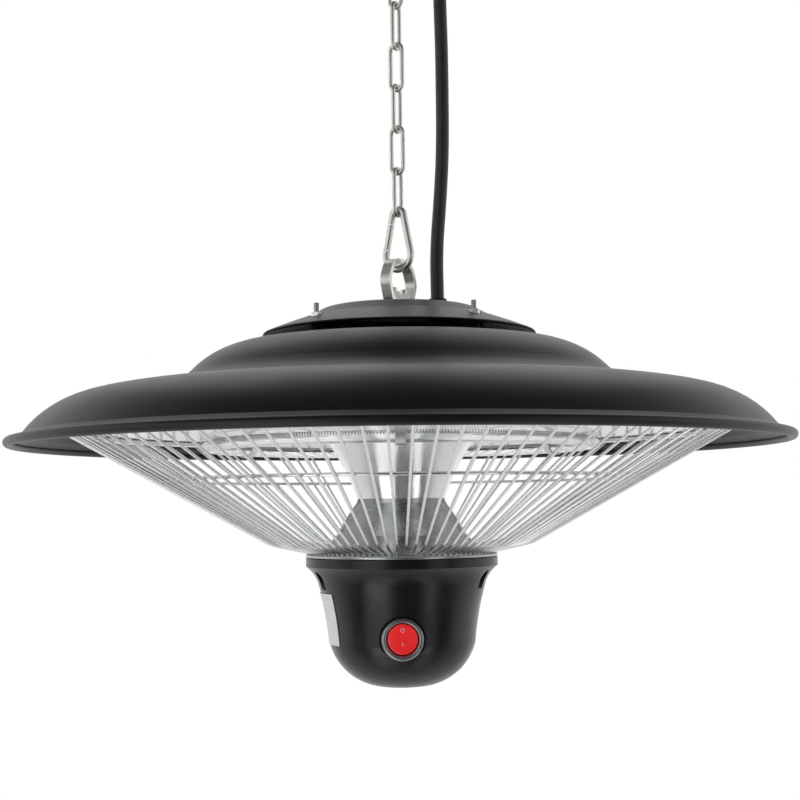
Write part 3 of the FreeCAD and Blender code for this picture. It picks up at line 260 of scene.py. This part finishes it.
silver = new_finish("silver_plate", Metallic=0.35, Roughness=0.5)
vary(silver, "Base Color", noise(silver, 60, 3, (1, 1, 12)), (0.70, 0.71, 0.71), (0.78, 0.79, 0.79))

rim_grey = new_finish("switch_rim", Metallic=0.7, Coat_Weight=0.5, Coat_Roughness=0.08)
vary(rim_grey, "Base Color", noise(rim_grey, 90, 2), (0.20, 0.20, 0.205), (0.27, 0.27, 0.275))
vary(rim_grey, "Roughness", noise(rim_grey, 160), 0.16, 0.24)
raise_grain(rim_grey, noise(rim_grey, 300, 2), strength=0.04, depth=0.0002)
print("fittings", [finish.name for finish in (brass, dark_steel, silver, rim_grey)])

# %% [markdown]
# ## Dressing the solids
#
# The model's record names a material slot for each solid. One table turns slots into finishes, and a short
# second one gives three solids a finish of their own.

# %% Dress the solids
FINISHES = {
    "hood_paint": paint,
    "zinc_plate": zinc,
    "chrome_wire": chrome,
    "polished_sheet": polished,
    "black_plastic": plastic,
    "red_plastic": red,
    "black_rubber": rubber,
    "white_ceramic": ceramic,
    "quartz": quartz,
    "heater_coil": hot_wire,
    "brass": brass,
}
OWN_FINISHES = {
    "rocker_pin": dark_steel,
    "lower_bell": satin_steel,
    # The guard's foot ring takes the darker steel, which dims the bright line of its wire.
    "guard_bottom_ring": satin_steel,
}
subparts = frame["record"]["subparts"]
for part in subparts:
    solid = nodes[part["node"]]
    solid.data.materials.clear()
    solid.data.materials.append(OWN_FINISHES.get(part["node"], FINISHES[part["material_slot"]]))
print("dressed", len(subparts), "solids")

# %% [markdown]
# ## Selecting in code
#
# An operator works on whatever is selected, and the loaded solids are still selected. So each new piece
# starts from an empty selection, in object mode.

# %% Selection
def clear_selection():
    """Deselect everything, in object mode."""
    if bpy.context.object and bpy.context.object.mode != "OBJECT":
        bpy.ops.object.mode_set(mode="OBJECT")
    bpy.ops.object.select_all(action="DESELECT")


def take(piece):
    """Make one piece the only selected and active one."""
    clear_selection()
    piece.select_set(True)
    bpy.context.view_layer.objects.active = piece


clear_selection()
print("still selected", len(bpy.context.selected_objects))

# %% [markdown]
# ## The mains lead
#
# A stout rubber lead rises beside the chain, slack enough to lean over to the right before it goes into
# the ceiling. A tube could be bent with an armature, but a smooth curve with a round bevel keeps its
# thickness everywhere. The route is given as points whose heights are measured from the top of the cap.

# %% Course of the lead
LEAD_RADIUS = 0.0038
LEAD_LOWER = [
    (0.0222, 0.0200, -0.0140),
    (0.0222, 0.0200, 0.0085),
    (0.0218, 0.0200, 0.0360),
    (0.0246, 0.0197, 0.0680),
    (0.0263, 0.0199, 0.0960),
    (0.0264, 0.0200, 0.1140),
]
LEAD_UPPER = [
    (0.0248, 0.0200, 0.23855),
    (0.0248, 0.0200, 0.2206),
    (0.0259, 0.0202, 0.1820),
    (0.026578, 0.020178, 0.1460),
    (0.0264, 0.0200, 0.1140),
]


def above_cap(x, y, height):
    """A point whose height is measured from the top of the cap."""
    return x, y, CAP_Z + height


def lead_curve(name, points, radius):
    """A smooth curve along the lead's route, bevelled to a round tube if a radius is given."""
    curve = bpy.data.curves.new(name, "CURVE")
    curve.dimensions = "3D"
    curve.resolution_u = 12
    spline = curve.splines.new("NURBS")
    spline.points.add(len(points) - 1)
    for point, place in zip(spline.points, points):
        point.co = (*above_cap(*place), 1)
    spline.order_u = 3
    spline.use_endpoint_u = True
    curve.bevel_depth = radius
    curve.bevel_resolution = 6
    curve.use_fill_caps = radius > 0
    piece = bpy.data.objects.new(name, curve)
    scene.collection.objects.link(piece)
    return piece


def lead_path(points):
    """The points along the middle line of a length of the lead."""
    line = lead_curve("lead_line", points, 0)
    line_curve = line.data
    line_mesh = bpy.data.meshes.new_from_object(line)
    path = [tuple(vertex.co) for vertex in line_mesh.vertices]
    bpy.data.objects.remove(line)
    bpy.data.curves.remove(line_curve)
    bpy.data.meshes.remove(line_mesh)
    return path


print("lead points", len(lead_path(LEAD_LOWER)), len(lead_path(LEAD_UPPER)))

# %% [markdown]
# ### Two lengths of lead
#
# The chain swings under the ceiling hook and the heater tilts under the snap hook. The lead is made in two lengths
# that meet at one point along the chain.

# %% Mains lead
SMOOTH_TUBE = math.radians(40)


def make_lead(name, points, node):
    """A length of the lead as a mesh tube that stands for a node."""
    path = lead_path(points)
    take(lead_curve(name, points, LEAD_RADIUS))
    bpy.ops.object.convert(target="MESH")
    piece = bpy.context.object
    bpy.ops.object.shade_smooth_by_angle(angle=SMOOTH_TUBE)
    piece.data.materials.clear()
    piece.data.materials.append(rubber)
    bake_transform(piece)
    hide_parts(node)


make_lead("mains_lead_lower", LEAD_LOWER, "lead_lower")
make_lead("mains_lead_upper", LEAD_UPPER, "lead_upper")

# %% [markdown]
# ## The strain relief
#
# Where the lead goes through the cap it is held by a moulded rubber bush: a flange on the cap, a short
# tapered nose with grooves that let it bend, and a sleeve below. A lathe shape like this is one outline
# spun about its axis, which is quicker and cleaner than cutting grooves into a cone.

# %% Turn the strain relief
MERGE = 1e-6
BUSH_STEPS = 64
BUSH_OUTLINE = [
    (4.0, -14.0), (6.3, -14.0), (6.6, -13.7), (6.6, 0.0), (8.2, 0.0), (8.5, 0.3), (8.5, 1.7), (8.2, 2.0),
    (6.4, 2.1), (6.4, 2.9), (5.6, 3.1), (5.6, 3.6), (6.1, 3.8), (6.1, 4.6), (5.3, 4.8), (5.3, 5.3),
    (5.7, 5.5), (5.7, 6.3), (5.0, 6.5), (5.0, 7.0), (5.4, 7.2), (5.2, 8.2), (4.9, 8.5), (4.0, 8.5),
]


def in_metres(outline):
    """An outline that was written in millimetres."""
    return [(radius / 1000, height / 1000) for radius, height in outline]


def spin_outline(outline, steps, open_ends=False, smooth=35):
    """Turn an outline of (radius, height) points about the upright axis; open ends lie on that axis."""
    clear_selection()
    bpy.ops.mesh.primitive_circle_add(vertices=len(outline), radius=0.01)
    piece = bpy.context.object
    for vertex, (radius, height) in zip(piece.data.vertices, outline):
        vertex.co = (radius, 0, height)
    bpy.ops.object.mode_set(mode="EDIT")
    if open_ends:
        bpy.ops.mesh.select_all(action="DESELECT")
        bpy.ops.object.mode_set(mode="OBJECT")
        for index in (0, len(outline) - 1):
            piece.data.vertices[index].select = True
        bpy.ops.object.mode_set(mode="EDIT")
        bpy.ops.mesh.delete(type="EDGE")
    bpy.ops.mesh.select_all(action="SELECT")
    bpy.ops.mesh.spin(steps=steps, angle=2 * math.pi, center=(0, 0, 0), axis=(0, 0, 1))
    bpy.ops.mesh.select_all(action="SELECT")
    bpy.ops.mesh.remove_doubles(threshold=MERGE)
    bpy.ops.mesh.normals_make_consistent(inside=False)
    bpy.ops.object.mode_set(mode="OBJECT")
    bpy.ops.object.shade_smooth_by_angle(angle=math.radians(smooth))
    return piece


bush = spin_outline(in_metres(BUSH_OUTLINE), BUSH_STEPS)
print("strain relief faces", len(bush.data.polygons))

# %% [markdown]
# ### Seating a piece
#
# A finished piece keeps its place in its mesh, so its object sits at the origin as the solids do. It rides
# on a body of the model, and may stand for one or more of its nodes.

# %% Seat the strain relief
def bake_place(piece):
    """Move the object's place into its mesh, so the object sits at the origin."""
    take(piece)
    bpy.ops.object.transform_apply(location=True, rotation=True, scale=True)


def seat(piece, name, body, finish, stands_for=()):
    """Name a finished piece, give it its finish and let it ride on a body."""
    bake_place(piece)
    piece.name = name
    piece.data.name = name
    piece.data.materials.clear()
    piece.data.materials.append(finish)
    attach(piece, body)
    if stands_for:
        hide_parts(*stands_for)


bush.location = (LEAD_LOWER[0][0], LEAD_LOWER[0][1], CAP_Z)
seat(bush, "cord_strain_relief", "heater", rubber, ["cord_bush"])
print(bush.name, "object at", tuple(bush.location))

# %% [markdown]
# ## The threaded stubs
#
# Four long screws come up through the cap, and their ends stand above the nuts. A real thread is a helix,
# but at three millimetres across a row of fine rings reads the same, so each screw is one spun outline with
# a toothed edge. One screw is made, then copied round the cap.

# %% One screw
SCREW_STEPS = 24
SCREW_HEAD = [(0, 0), (0.0016, 0), (0.0025, 0.0004), (0.0028, 0.0011), (0.0028, 0.002)]
THREAD_CREST = 0.0015
THREAD_ROOT = 0.00125
THREAD_PITCH = 0.0006
THREAD_LENGTH = 0.0162
TIP_RADIUS = 0.0012
TIP_HEIGHT = 0.0003

screws_low, screws_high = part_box("cap_screws")
screw_height = screws_high.z - screws_low.z
thread_top = screw_height - TIP_HEIGHT
screw_outline = SCREW_HEAD + [(THREAD_CREST, SCREW_HEAD[-1][1])]
for turn in range(int(THREAD_LENGTH / THREAD_PITCH)):
    height = thread_top - THREAD_LENGTH + turn * THREAD_PITCH
    screw_outline += [(THREAD_CREST, height), (THREAD_ROOT, height + THREAD_PITCH / 2)]
screw_outline += [(THREAD_CREST, thread_top), (TIP_RADIUS, screw_height), (0, screw_height)]
first_screw = spin_outline(screw_outline, SCREW_STEPS, open_ends=True)
print("screw height", round(screw_height, 4))

# %% [markdown]
# ### Copies round the cap
#
# An array round an empty could place the other three, but plain copies, each with its own mesh, are easier
# to follow. Once each has its place in its mesh, they are joined into one piece.

# %% Four screws round the cap
SCREW_COUNT = 4
SCREW_RING = 0.059
SCREW_TURN = math.radians(42)


def join_pieces(pieces):
    """Join several meshes into the first one."""
    clear_selection()
    for piece in pieces:
        piece.select_set(True)
    bpy.context.view_layer.objects.active = pieces[0]
    bpy.ops.object.join()
    return bpy.context.object


screws = [first_screw]
for _ in range(SCREW_COUNT - 1):
    copy = first_screw.copy()
    copy.data = first_screw.data.copy()
    scene.collection.objects.link(copy)
    screws.append(copy)
for index, screw in enumerate(screws):
    angle = SCREW_TURN + index * 2 * math.pi / SCREW_COUNT
    screw.location = (SCREW_RING * math.cos(angle), SCREW_RING * math.sin(angle), screws_low.z)
    bake_place(screw)
screw_set = join_pieces(screws)
seat(screw_set, "cap_screw_set", "heater", zinc, ["cap_screws"])
print("screw faces", len(screw_set.data.polygons))

# %% [markdown]
# ## The heating coil
#
# Inside the quartz ring lies a fine coiled wire. It is a helix whose axis is itself bent into a circle, so
# its points come from two angles, a slow one round the lamp and a fast one round the wire's own axis. A
# bevelled curve through them is turned into a mesh.

# %% Heating coil
COIL_RING = 0.105
COIL_LEVEL = RIM_Z + 0.0016
COIL_RADIUS = 0.0009
COIL_WIRE = 0.0002
COIL_TURNS = 420
COIL_STEPS = 9
COIL_FROM = math.radians(93.5)
COIL_SPAN = math.radians(353)
SMOOTH_WIRE = math.radians(50)

coil_curve = bpy.data.curves.new("coil", "CURVE")
coil_curve.dimensions = "3D"
coil_spline = coil_curve.splines.new("POLY")
coil_last = COIL_TURNS * COIL_STEPS
coil_spline.points.add(coil_last)
for index, point in enumerate(coil_spline.points):
    share = index / coil_last
    slow = COIL_FROM + share * COIL_SPAN
    fast = share * COIL_TURNS * 2 * math.pi
    radius = COIL_RING + COIL_RADIUS * math.cos(fast)
    height = COIL_LEVEL + COIL_RADIUS * math.sin(fast)
    point.co = (radius * math.cos(slow), radius * math.sin(slow), height, 1)
coil_curve.bevel_depth = COIL_WIRE
coil_curve.bevel_resolution = 1
coil_curve.use_fill_caps = True
coil = bpy.data.objects.new("coil", coil_curve)
scene.collection.objects.link(coil)
take(coil)
bpy.ops.object.convert(target="MESH")
coil = bpy.context.object
bpy.ops.object.shade_smooth_by_angle(angle=SMOOTH_WIRE)
seat(coil, "heating_coil", "heater", hot_wire, ["lamp_filament"])
print("coil faces", len(coil.data.polygons))

# %% [markdown]
# ## The switch's rim
#
# The switch is pressed into the housing from the front, and a rounded glossy rim covers the edge of its
# hole. Rim and body are one lathe shape: a cup, open to the front, whose lip is rolled over. It is spun
# upright and then tipped forward.

# %% Switch rim
SWITCH_STEPS = 96
SWITCH_OUTLINE = [
    (0, -9.0), (8.35, -9.0), (8.35, -1.3), (8.5, -0.75), (8.8, -0.32), (9.25, -0.07), (9.75, 0.0),
    (10.3, -0.12), (10.75, -0.4), (11.07, -0.8), (11.25, -1.25), (11.3, -1.6), (11.3, -1.84),
    (10.0, -1.85), (10.0, -17.85), (0, -17.85),
]
FACE_FORWARD = Matrix.Rotation(math.pi / 2, 4, "X")

switch_low, switch_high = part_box("switch_body")
switch_middle = (switch_low + switch_high) / 2
switch_cup = spin_outline(in_metres(SWITCH_OUTLINE), SWITCH_STEPS, open_ends=True, smooth=50)
switch_cup.matrix_world = Matrix.Translation((0, switch_low.y, switch_middle.z)) @ FACE_FORWARD
seat(switch_cup, "switch_cup", "heater", rim_grey, ["switch_body"])
print("rim radius", round((switch_high.x - switch_low.x) / 2, 5))

# %% [markdown]
# ## The rocker
#
# The switch is a small red rocker in a grey rim. Its face is dished towards the middle line, so each half
# lies flush when it is pressed. The solid is a plain tilted disc, so the rocker is modelled here: a
# cylinder is cut into strips, its front is pushed in along the middle line, and a bevel rounds its edges.

# %% Cut and dish the rocker
rocker_low, rocker_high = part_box("switch_rocker")
ROCKER_RADIUS = (rocker_high.x - rocker_low.x) / 2
ROCKER_HALF = 0.0025
ROCKER_CUTS = (-0.006, -0.004, -0.002, 0.0, 0.002, 0.004, 0.006)
DISH_RISE = 0.0009
DISH_SINK = 0.0004
DISH_CURVE = 1.5

clear_selection()
bpy.ops.mesh.primitive_cylinder_add(vertices=64, radius=ROCKER_RADIUS, depth=2 * ROCKER_HALF)
rocker = bpy.context.object
bpy.ops.object.mode_set(mode="EDIT")
for offset in ROCKER_CUTS:
    bpy.ops.mesh.select_all(action="SELECT")
    bpy.ops.mesh.bisect(plane_co=(0, offset, 0), plane_no=(0, 1, 0))
bpy.ops.object.mode_set(mode="OBJECT")
for vertex in rocker.data.vertices:
    if vertex.co.z > 0:
        vertex.co.z += DISH_RISE * (abs(vertex.co.y) / ROCKER_RADIUS) ** DISH_CURVE - DISH_SINK
print("rocker radius", round(ROCKER_RADIUS, 5), "faces", len(rocker.data.polygons))

# %% Round and seat the rocker
EDGE_ROUND = 0.0005
EDGE_ANGLE = math.radians(50)
rocker_joint = next(joint for joint in frame["joints"] if joint["name"] == "rocker_press")
ROCKER_TILT = Matrix.Rotation(math.radians(-7), 4, "X")
ROCKER_PLACE = Matrix.Translation(Vector(rocker_joint["pos_m"])) @ ROCKER_TILT @ FACE_FORWARD

rounding = rocker.modifiers.new("rounding", "BEVEL")
rounding.width = EDGE_ROUND
rounding.segments = 3
rounding.limit_method = "ANGLE"
rounding.angle_limit = EDGE_ANGLE
take(rocker)
bpy.ops.object.modifier_apply(modifier=rounding.name)
bpy.ops.object.shade_smooth_by_angle(angle=math.radians(40))
rocker.matrix_world = ROCKER_PLACE
seat(rocker, "rocker_cap", "rocker", red, ["switch_rocker"])
print("rounded rocker faces", len(rocker.data.polygons))

# %% [markdown]
# ## The rocker's marks
#
# The rocker carries the usual line and ring, moulded a little proud of its face in a paler tone. A texture
# could paint them, but as small meshes, a thin torus and a bar, they catch the light at their edges.

# %% Marks on the rocker
MARK_WIDTH = 0.0004
MARK_LIFT = 0.0001
RING_RADIUS = 0.00098
RING_UP = 0.0046
LINE_LENGTH = 0.0019
LINE_UP = -0.0026

pale_red = new_finish("rocker_marks", Roughness=0.4)
vary(pale_red, "Base Color", noise(pale_red, 300, 2), (0.80, 0.36, 0.36), (0.86, 0.46, 0.45))

clear_selection()
bpy.ops.mesh.primitive_torus_add(
    major_radius=RING_RADIUS, minor_radius=MARK_WIDTH / 2, major_segments=36, minor_segments=8)
ring_mark = bpy.context.object
ring_mark.location = (0, RING_UP, ROCKER_HALF + MARK_LIFT)
bake_place(ring_mark)
clear_selection()
bpy.ops.mesh.primitive_cube_add(size=1)
line_mark = bpy.context.object
line_mark.scale = (MARK_WIDTH, LINE_LENGTH, MARK_WIDTH)
line_mark.location = (0, LINE_UP, ROCKER_HALF - MARK_LIFT)
bake_place(line_mark)
marks = join_pieces([ring_mark, line_mark])
marks.matrix_world = ROCKER_PLACE
seat(marks, "rocker_marks", "rocker", pale_red)
print("mark faces", len(marks.data.polygons))

# %% [markdown]
# ## The plate on the housing
#
# A thin silver plate is wrapped round the left flank of the housing. It is a plain patch of the housing's
# own tapered side: a grid is bent to the taper, drawn onto the housing by a shrinkwrap, so that it can't
# float or sink in, and given a thickness.

# %% Bend the plate
PLATE_TOP = (0.0440, RIM_Z - 0.0806)
PLATE_FOOT = (0.04005, RIM_Z - 0.1085)
PLATE_ANGLES = (math.radians(-190), math.radians(-147))
PLATE_GAP = 0.0003

clear_selection()
bpy.ops.mesh.primitive_grid_add(x_subdivisions=24, y_subdivisions=12, size=1)
plate = bpy.context.object
for vertex in plate.data.vertices:
    across = vertex.co.x + 0.5
    down = 0.5 - vertex.co.y
    angle = PLATE_ANGLES[0] + across * (PLATE_ANGLES[1] - PLATE_ANGLES[0])
    radius = PLATE_TOP[0] + down * (PLATE_FOOT[0] - PLATE_TOP[0]) + PLATE_GAP
    height = PLATE_TOP[1] + down * (PLATE_FOOT[1] - PLATE_TOP[1])
    vertex.co = (radius * math.cos(angle), radius * math.sin(angle), height)
print("plate height", round(PLATE_TOP[1] - PLATE_FOOT[1], 4))

# %% Fit the plate to the housing
PLATE_THICK = 0.0003

fit = plate.modifiers.new("fit", "SHRINKWRAP")
fit.target = nodes["control_housing"]
fit.wrap_method = "NEAREST_SURFACEPOINT"
fit.wrap_mode = "OUTSIDE_SURFACE"
fit.offset = PLATE_GAP
take(plate)
bpy.ops.object.modifier_apply(modifier=fit.name)
thickness = plate.modifiers.new("thickness", "SOLIDIFY")
thickness.thickness = PLATE_THICK
thickness.offset = 0
bpy.ops.object.modifier_apply(modifier=thickness.name)
bpy.ops.object.mode_set(mode="EDIT")
bpy.ops.mesh.select_all(action="SELECT")
bpy.ops.mesh.normals_make_consistent(inside=False)
bpy.ops.object.mode_set(mode="OBJECT")
bpy.ops.object.shade_smooth_by_angle(angle=math.radians(40))
seat(plate, "bare_plate", "heater", silver)
print("plate faces", len(plate.data.polygons))

# %% [markdown]
# ## The room
#
# The reference was taken before a white sweep. The world here is plain white wherever it is looked at,
# mirrored or seen through glass, and an even fill for everything matt. A picture of the sky could light the
# scene as well, but then every highlight would depend on that picture.

# %% Where the room is looked at
scene.view_settings.view_transform = "Standard"


def math_node(tree, operation, first, second):
    """One sum on two values, each a socket or a number."""
    node = tree.nodes.new("ShaderNodeMath")
    node.operation = operation
    for socket, value in zip(node.inputs, (first, second)):
        if isinstance(value, float):
            socket.default_value = value
        else:
            tree.links.new(value, socket)
    return node.outputs[0]


def looked_at(tree):
    """One where the camera, a reflection or clear glass looks, and nought for soft light."""
    rays = tree.nodes.new("ShaderNodeLightPath").outputs
    mirrored = math_node(tree, "MAXIMUM", rays["Is Glossy Ray"], rays["Is Transmission Ray"])
    return math_node(tree, "MAXIMUM", rays["Is Camera Ray"], mirrored)


scene.world = bpy.data.worlds.new("studio_room")
scene.world.use_nodes = True
room = scene.world.node_tree
room.nodes.clear()
room_share = looked_at(room)
print("nodes that tell where the room is looked at", len(room.nodes))

# %% White sweep and even fill
SWEEP_WHITE = 1.0
FILL_LIGHT = 0.45


def blend_shaders(tree, share, first, second, output):
    """Send a mix of two shaders to an output: the first at nought, the second at one."""
    mix = tree.nodes.new("ShaderNodeMixShader")
    tree.links.new(share, mix.inputs["Fac"])
    tree.links.new(first, mix.inputs[1])
    tree.links.new(second, mix.inputs[2])
    tree.links.new(mix.outputs[0], output.inputs["Surface"])


def white_light(tree, strength):
    """An even white background light."""
    node = tree.nodes.new("ShaderNodeBackground")
    node.inputs["Color"].default_value = (1, 1, 1, 1)
    node.inputs["Strength"].default_value = strength
    return node.outputs[0]


blend_shaders(room, room_share, white_light(room, FILL_LIGHT), white_light(room, SWEEP_WHITE),
              room.nodes.new("ShaderNodeOutputWorld"))
print("room nodes", len(room.nodes))

# %% [markdown]
# ## The floor
#
# A heater like this hangs a little over two metres above the ground, so the floor is far below and only
# takes a faint, wide shadow. It is one pale plane. It glows a little where it is looked at or mirrored, to
# come near the white of the sweep, and the rest of its tone is left to the light, so that it keeps the
# shadow. Far out the glow takes over, and the floor runs into the sweep without an edge.

# %% Floor finish
FLOOR_GLOW = 0.6
FLOOR_FADE = (3.0, 7.6)


def soft_step(tree, source, start, end):
    """A smooth step, nought before the start and one after the end."""
    step = tree.nodes.new("ShaderNodeMapRange")
    step.interpolation_type = "SMOOTHSTEP"
    step.inputs["From Min"].default_value = start
    step.inputs["From Max"].default_value = end
    tree.links.new(source, step.inputs["Value"])
    return step.outputs["Result"]


pale = new_finish("pale_floor", Roughness=0.8)
vary(pale, "Base Color", noise(pale, 3), 0.84, 0.87)
raise_grain(pale, noise(pale, 40), strength=0.05, depth=0.002)
floor_tree = pale.node_tree
floor_place = floor_tree.nodes.new("ShaderNodeTexCoord")
reach = floor_tree.nodes.new("ShaderNodeVectorMath")
reach.operation = "LENGTH"
floor_tree.links.new(floor_place.outputs["Object"], reach.inputs[0])
far_out = soft_step(floor_tree, reach.outputs["Value"], *FLOOR_FADE)
glow_share = math_node(floor_tree, "MULTIPLY", far_out, 1.0 - FLOOR_GLOW)
glow_share = math_node(floor_tree, "ADD", glow_share, FLOOR_GLOW)
glow_share = math_node(floor_tree, "MULTIPLY", looked_at(floor_tree), glow_share)
glow = floor_tree.nodes.new("ShaderNodeEmission")
blend_shaders(floor_tree, glow_share, floor_tree.nodes[SHADER].outputs[0], glow.outputs[0],
              floor_tree.nodes["Material Output"])
print(pale.name, "nodes", len(floor_tree.nodes))

# %% Floor
FLOOR_SIZE = 16.0
FLOOR_LEVEL = -2.2

clear_selection()
bpy.ops.mesh.primitive_plane_add(size=FLOOR_SIZE, location=(0, 0, FLOOR_LEVEL))
floor = bpy.context.object
floor.name = "floor"
bake_place(floor)
floor.data.materials.append(pale)
print("floor", FLOOR_SIZE, "m across")

# %% [markdown]
# ## Dark cloth
#
# The front of the hood is deep black in the reference, and the polished core is grey between its
# highlights, because they mirror a dark side of the room. A studio hangs black cloth there, out of the
# picture. Here it is a wide dome and a sheet over the floor, dark towards the front and above, and clear at
# the back. Only reflections and glass show them, so they take no light away and no view looks onto them.

# %% Cloth finishes
DOME_RADIUS = 6.0
DOME_TONE = (0.07, 0.073, 0.08)
DOME_BACK = (-0.55 * DOME_RADIUS, -0.2 * DOME_RADIUS)
DOME_TOP = (RIM_Z + 0.37 * DOME_RADIUS, RIM_Z + 0.85 * DOME_RADIUS)
SHEET_TONE = (0.047, 0.048, 0.05)
SHEET_BACK = (-1.6, 0.6)


def cloth_finish(name, tone, back, top=None):
    """Dark cloth that fades to nothing towards the back, and stays dark at the top if there is one."""
    finish = bpy.data.materials.new(name)
    finish.use_nodes = True
    tree = finish.node_tree
    tree.nodes.remove(tree.nodes[SHADER])
    place = tree.nodes.new("ShaderNodeTexCoord")
    parts = tree.nodes.new("ShaderNodeSeparateXYZ")
    tree.links.new(place.outputs["Object"], parts.inputs[0])
    share = soft_step(tree, parts.outputs["Y"], *back)
    if top:
        under = math_node(tree, "SUBTRACT", 1.0, soft_step(tree, parts.outputs["Z"], *top))
        share = math_node(tree, "MULTIPLY", share, under)
    dark = tree.nodes.new("ShaderNodeEmission")
    dark.inputs["Color"].default_value = (*tone, 1)
    clear = tree.nodes.new("ShaderNodeBsdfTransparent")
    blend_shaders(tree, share, dark.outputs[0], clear.outputs[0], tree.nodes["Material Output"])
    return finish


dome_cloth = cloth_finish("dome_cloth", DOME_TONE, DOME_BACK, DOME_TOP)
sheet_cloth = cloth_finish("sheet_cloth", SHEET_TONE, SHEET_BACK)
print("cloth finishes", dome_cloth.name, sheet_cloth.name)

# %% Hang the cloth
SHEET_LIFT = 0.01


def hang_cloth(piece, name, finish):
    """Name a cloth, and hide it from the camera, from soft light and from shadow rays."""
    bake_place(piece)
    piece.name = name
    piece.data.materials.append(finish)
    piece.visible_camera = False
    piece.visible_diffuse = False
    piece.visible_shadow = False


clear_selection()
bpy.ops.mesh.primitive_uv_sphere_add(segments=48, ring_count=24, radius=DOME_RADIUS, location=(0, 0, RIM_Z))
hang_cloth(bpy.context.object, "cloth_dome", dome_cloth)
clear_selection()
bpy.ops.mesh.primitive_plane_add(size=FLOOR_SIZE, location=(0, 0, FLOOR_LEVEL + SHEET_LIFT))
hang_cloth(bpy.context.object, "cloth_sheet", sheet_cloth)
print("cloth", DOME_RADIUS, "m away")

# %% [markdown]
# ## The lamps
#
# The highlights in the polished core tell where the light came from: a wide soft box on the left, a narrow
# one right of the camera, two small ones low down that the upper cone mirrors, and a large one over the
# back of the hood. Area lamps of those sizes give the same strips of light, where point lamps would give
# dots. The table holds each lamp's name, power in watts, size, place and the point it is aimed at.

# %% Lamps
SIDE_LEVEL = RIM_Z - 0.45
LOW_LEVEL = RIM_Z - 1.1
AT_RIM = (0, 0, RIM_Z)
AT_SIDE_LEVEL = (0, 0, SIDE_LEVEL)
LAMPS = [
    ("left_box", 11, (1.2, 2.7), (-1.05, -1.34, SIDE_LEVEL), AT_SIDE_LEVEL),
    ("right_box", 4, (0.6, 2.7), (1.16, -1.24, SIDE_LEVEL), AT_SIDE_LEVEL),
    ("top_box", 4.5, (1.6, 1.0), (0, 0.95, 1.0), AT_RIM),
    ("low_left", 2.4, (0.7, 1.0), (-0.55, -0.72, LOW_LEVEL), AT_RIM),
    ("low_right", 0.9, (0.3, 1.0), (0.62, -0.65, LOW_LEVEL), AT_RIM),
]


def soft_box(name, power, size, location, target):
    """A rectangular area light aimed at a point."""
    data = bpy.data.lights.new(name, "AREA")
    data.shape = "RECTANGLE"
    data.size, data.size_y = size
    data.energy = power
    lamp = bpy.data.objects.new(name, data)
    scene.collection.objects.link(lamp)
    lamp.location = location
    lamp.rotation_euler = (Vector(target) - Vector(location)).to_track_quat("-Z", "Y").to_euler()
    lamp.visible_camera = False


for lamp_row in LAMPS:
    soft_box(*lamp_row)
print("lamps", len(bpy.data.lights))
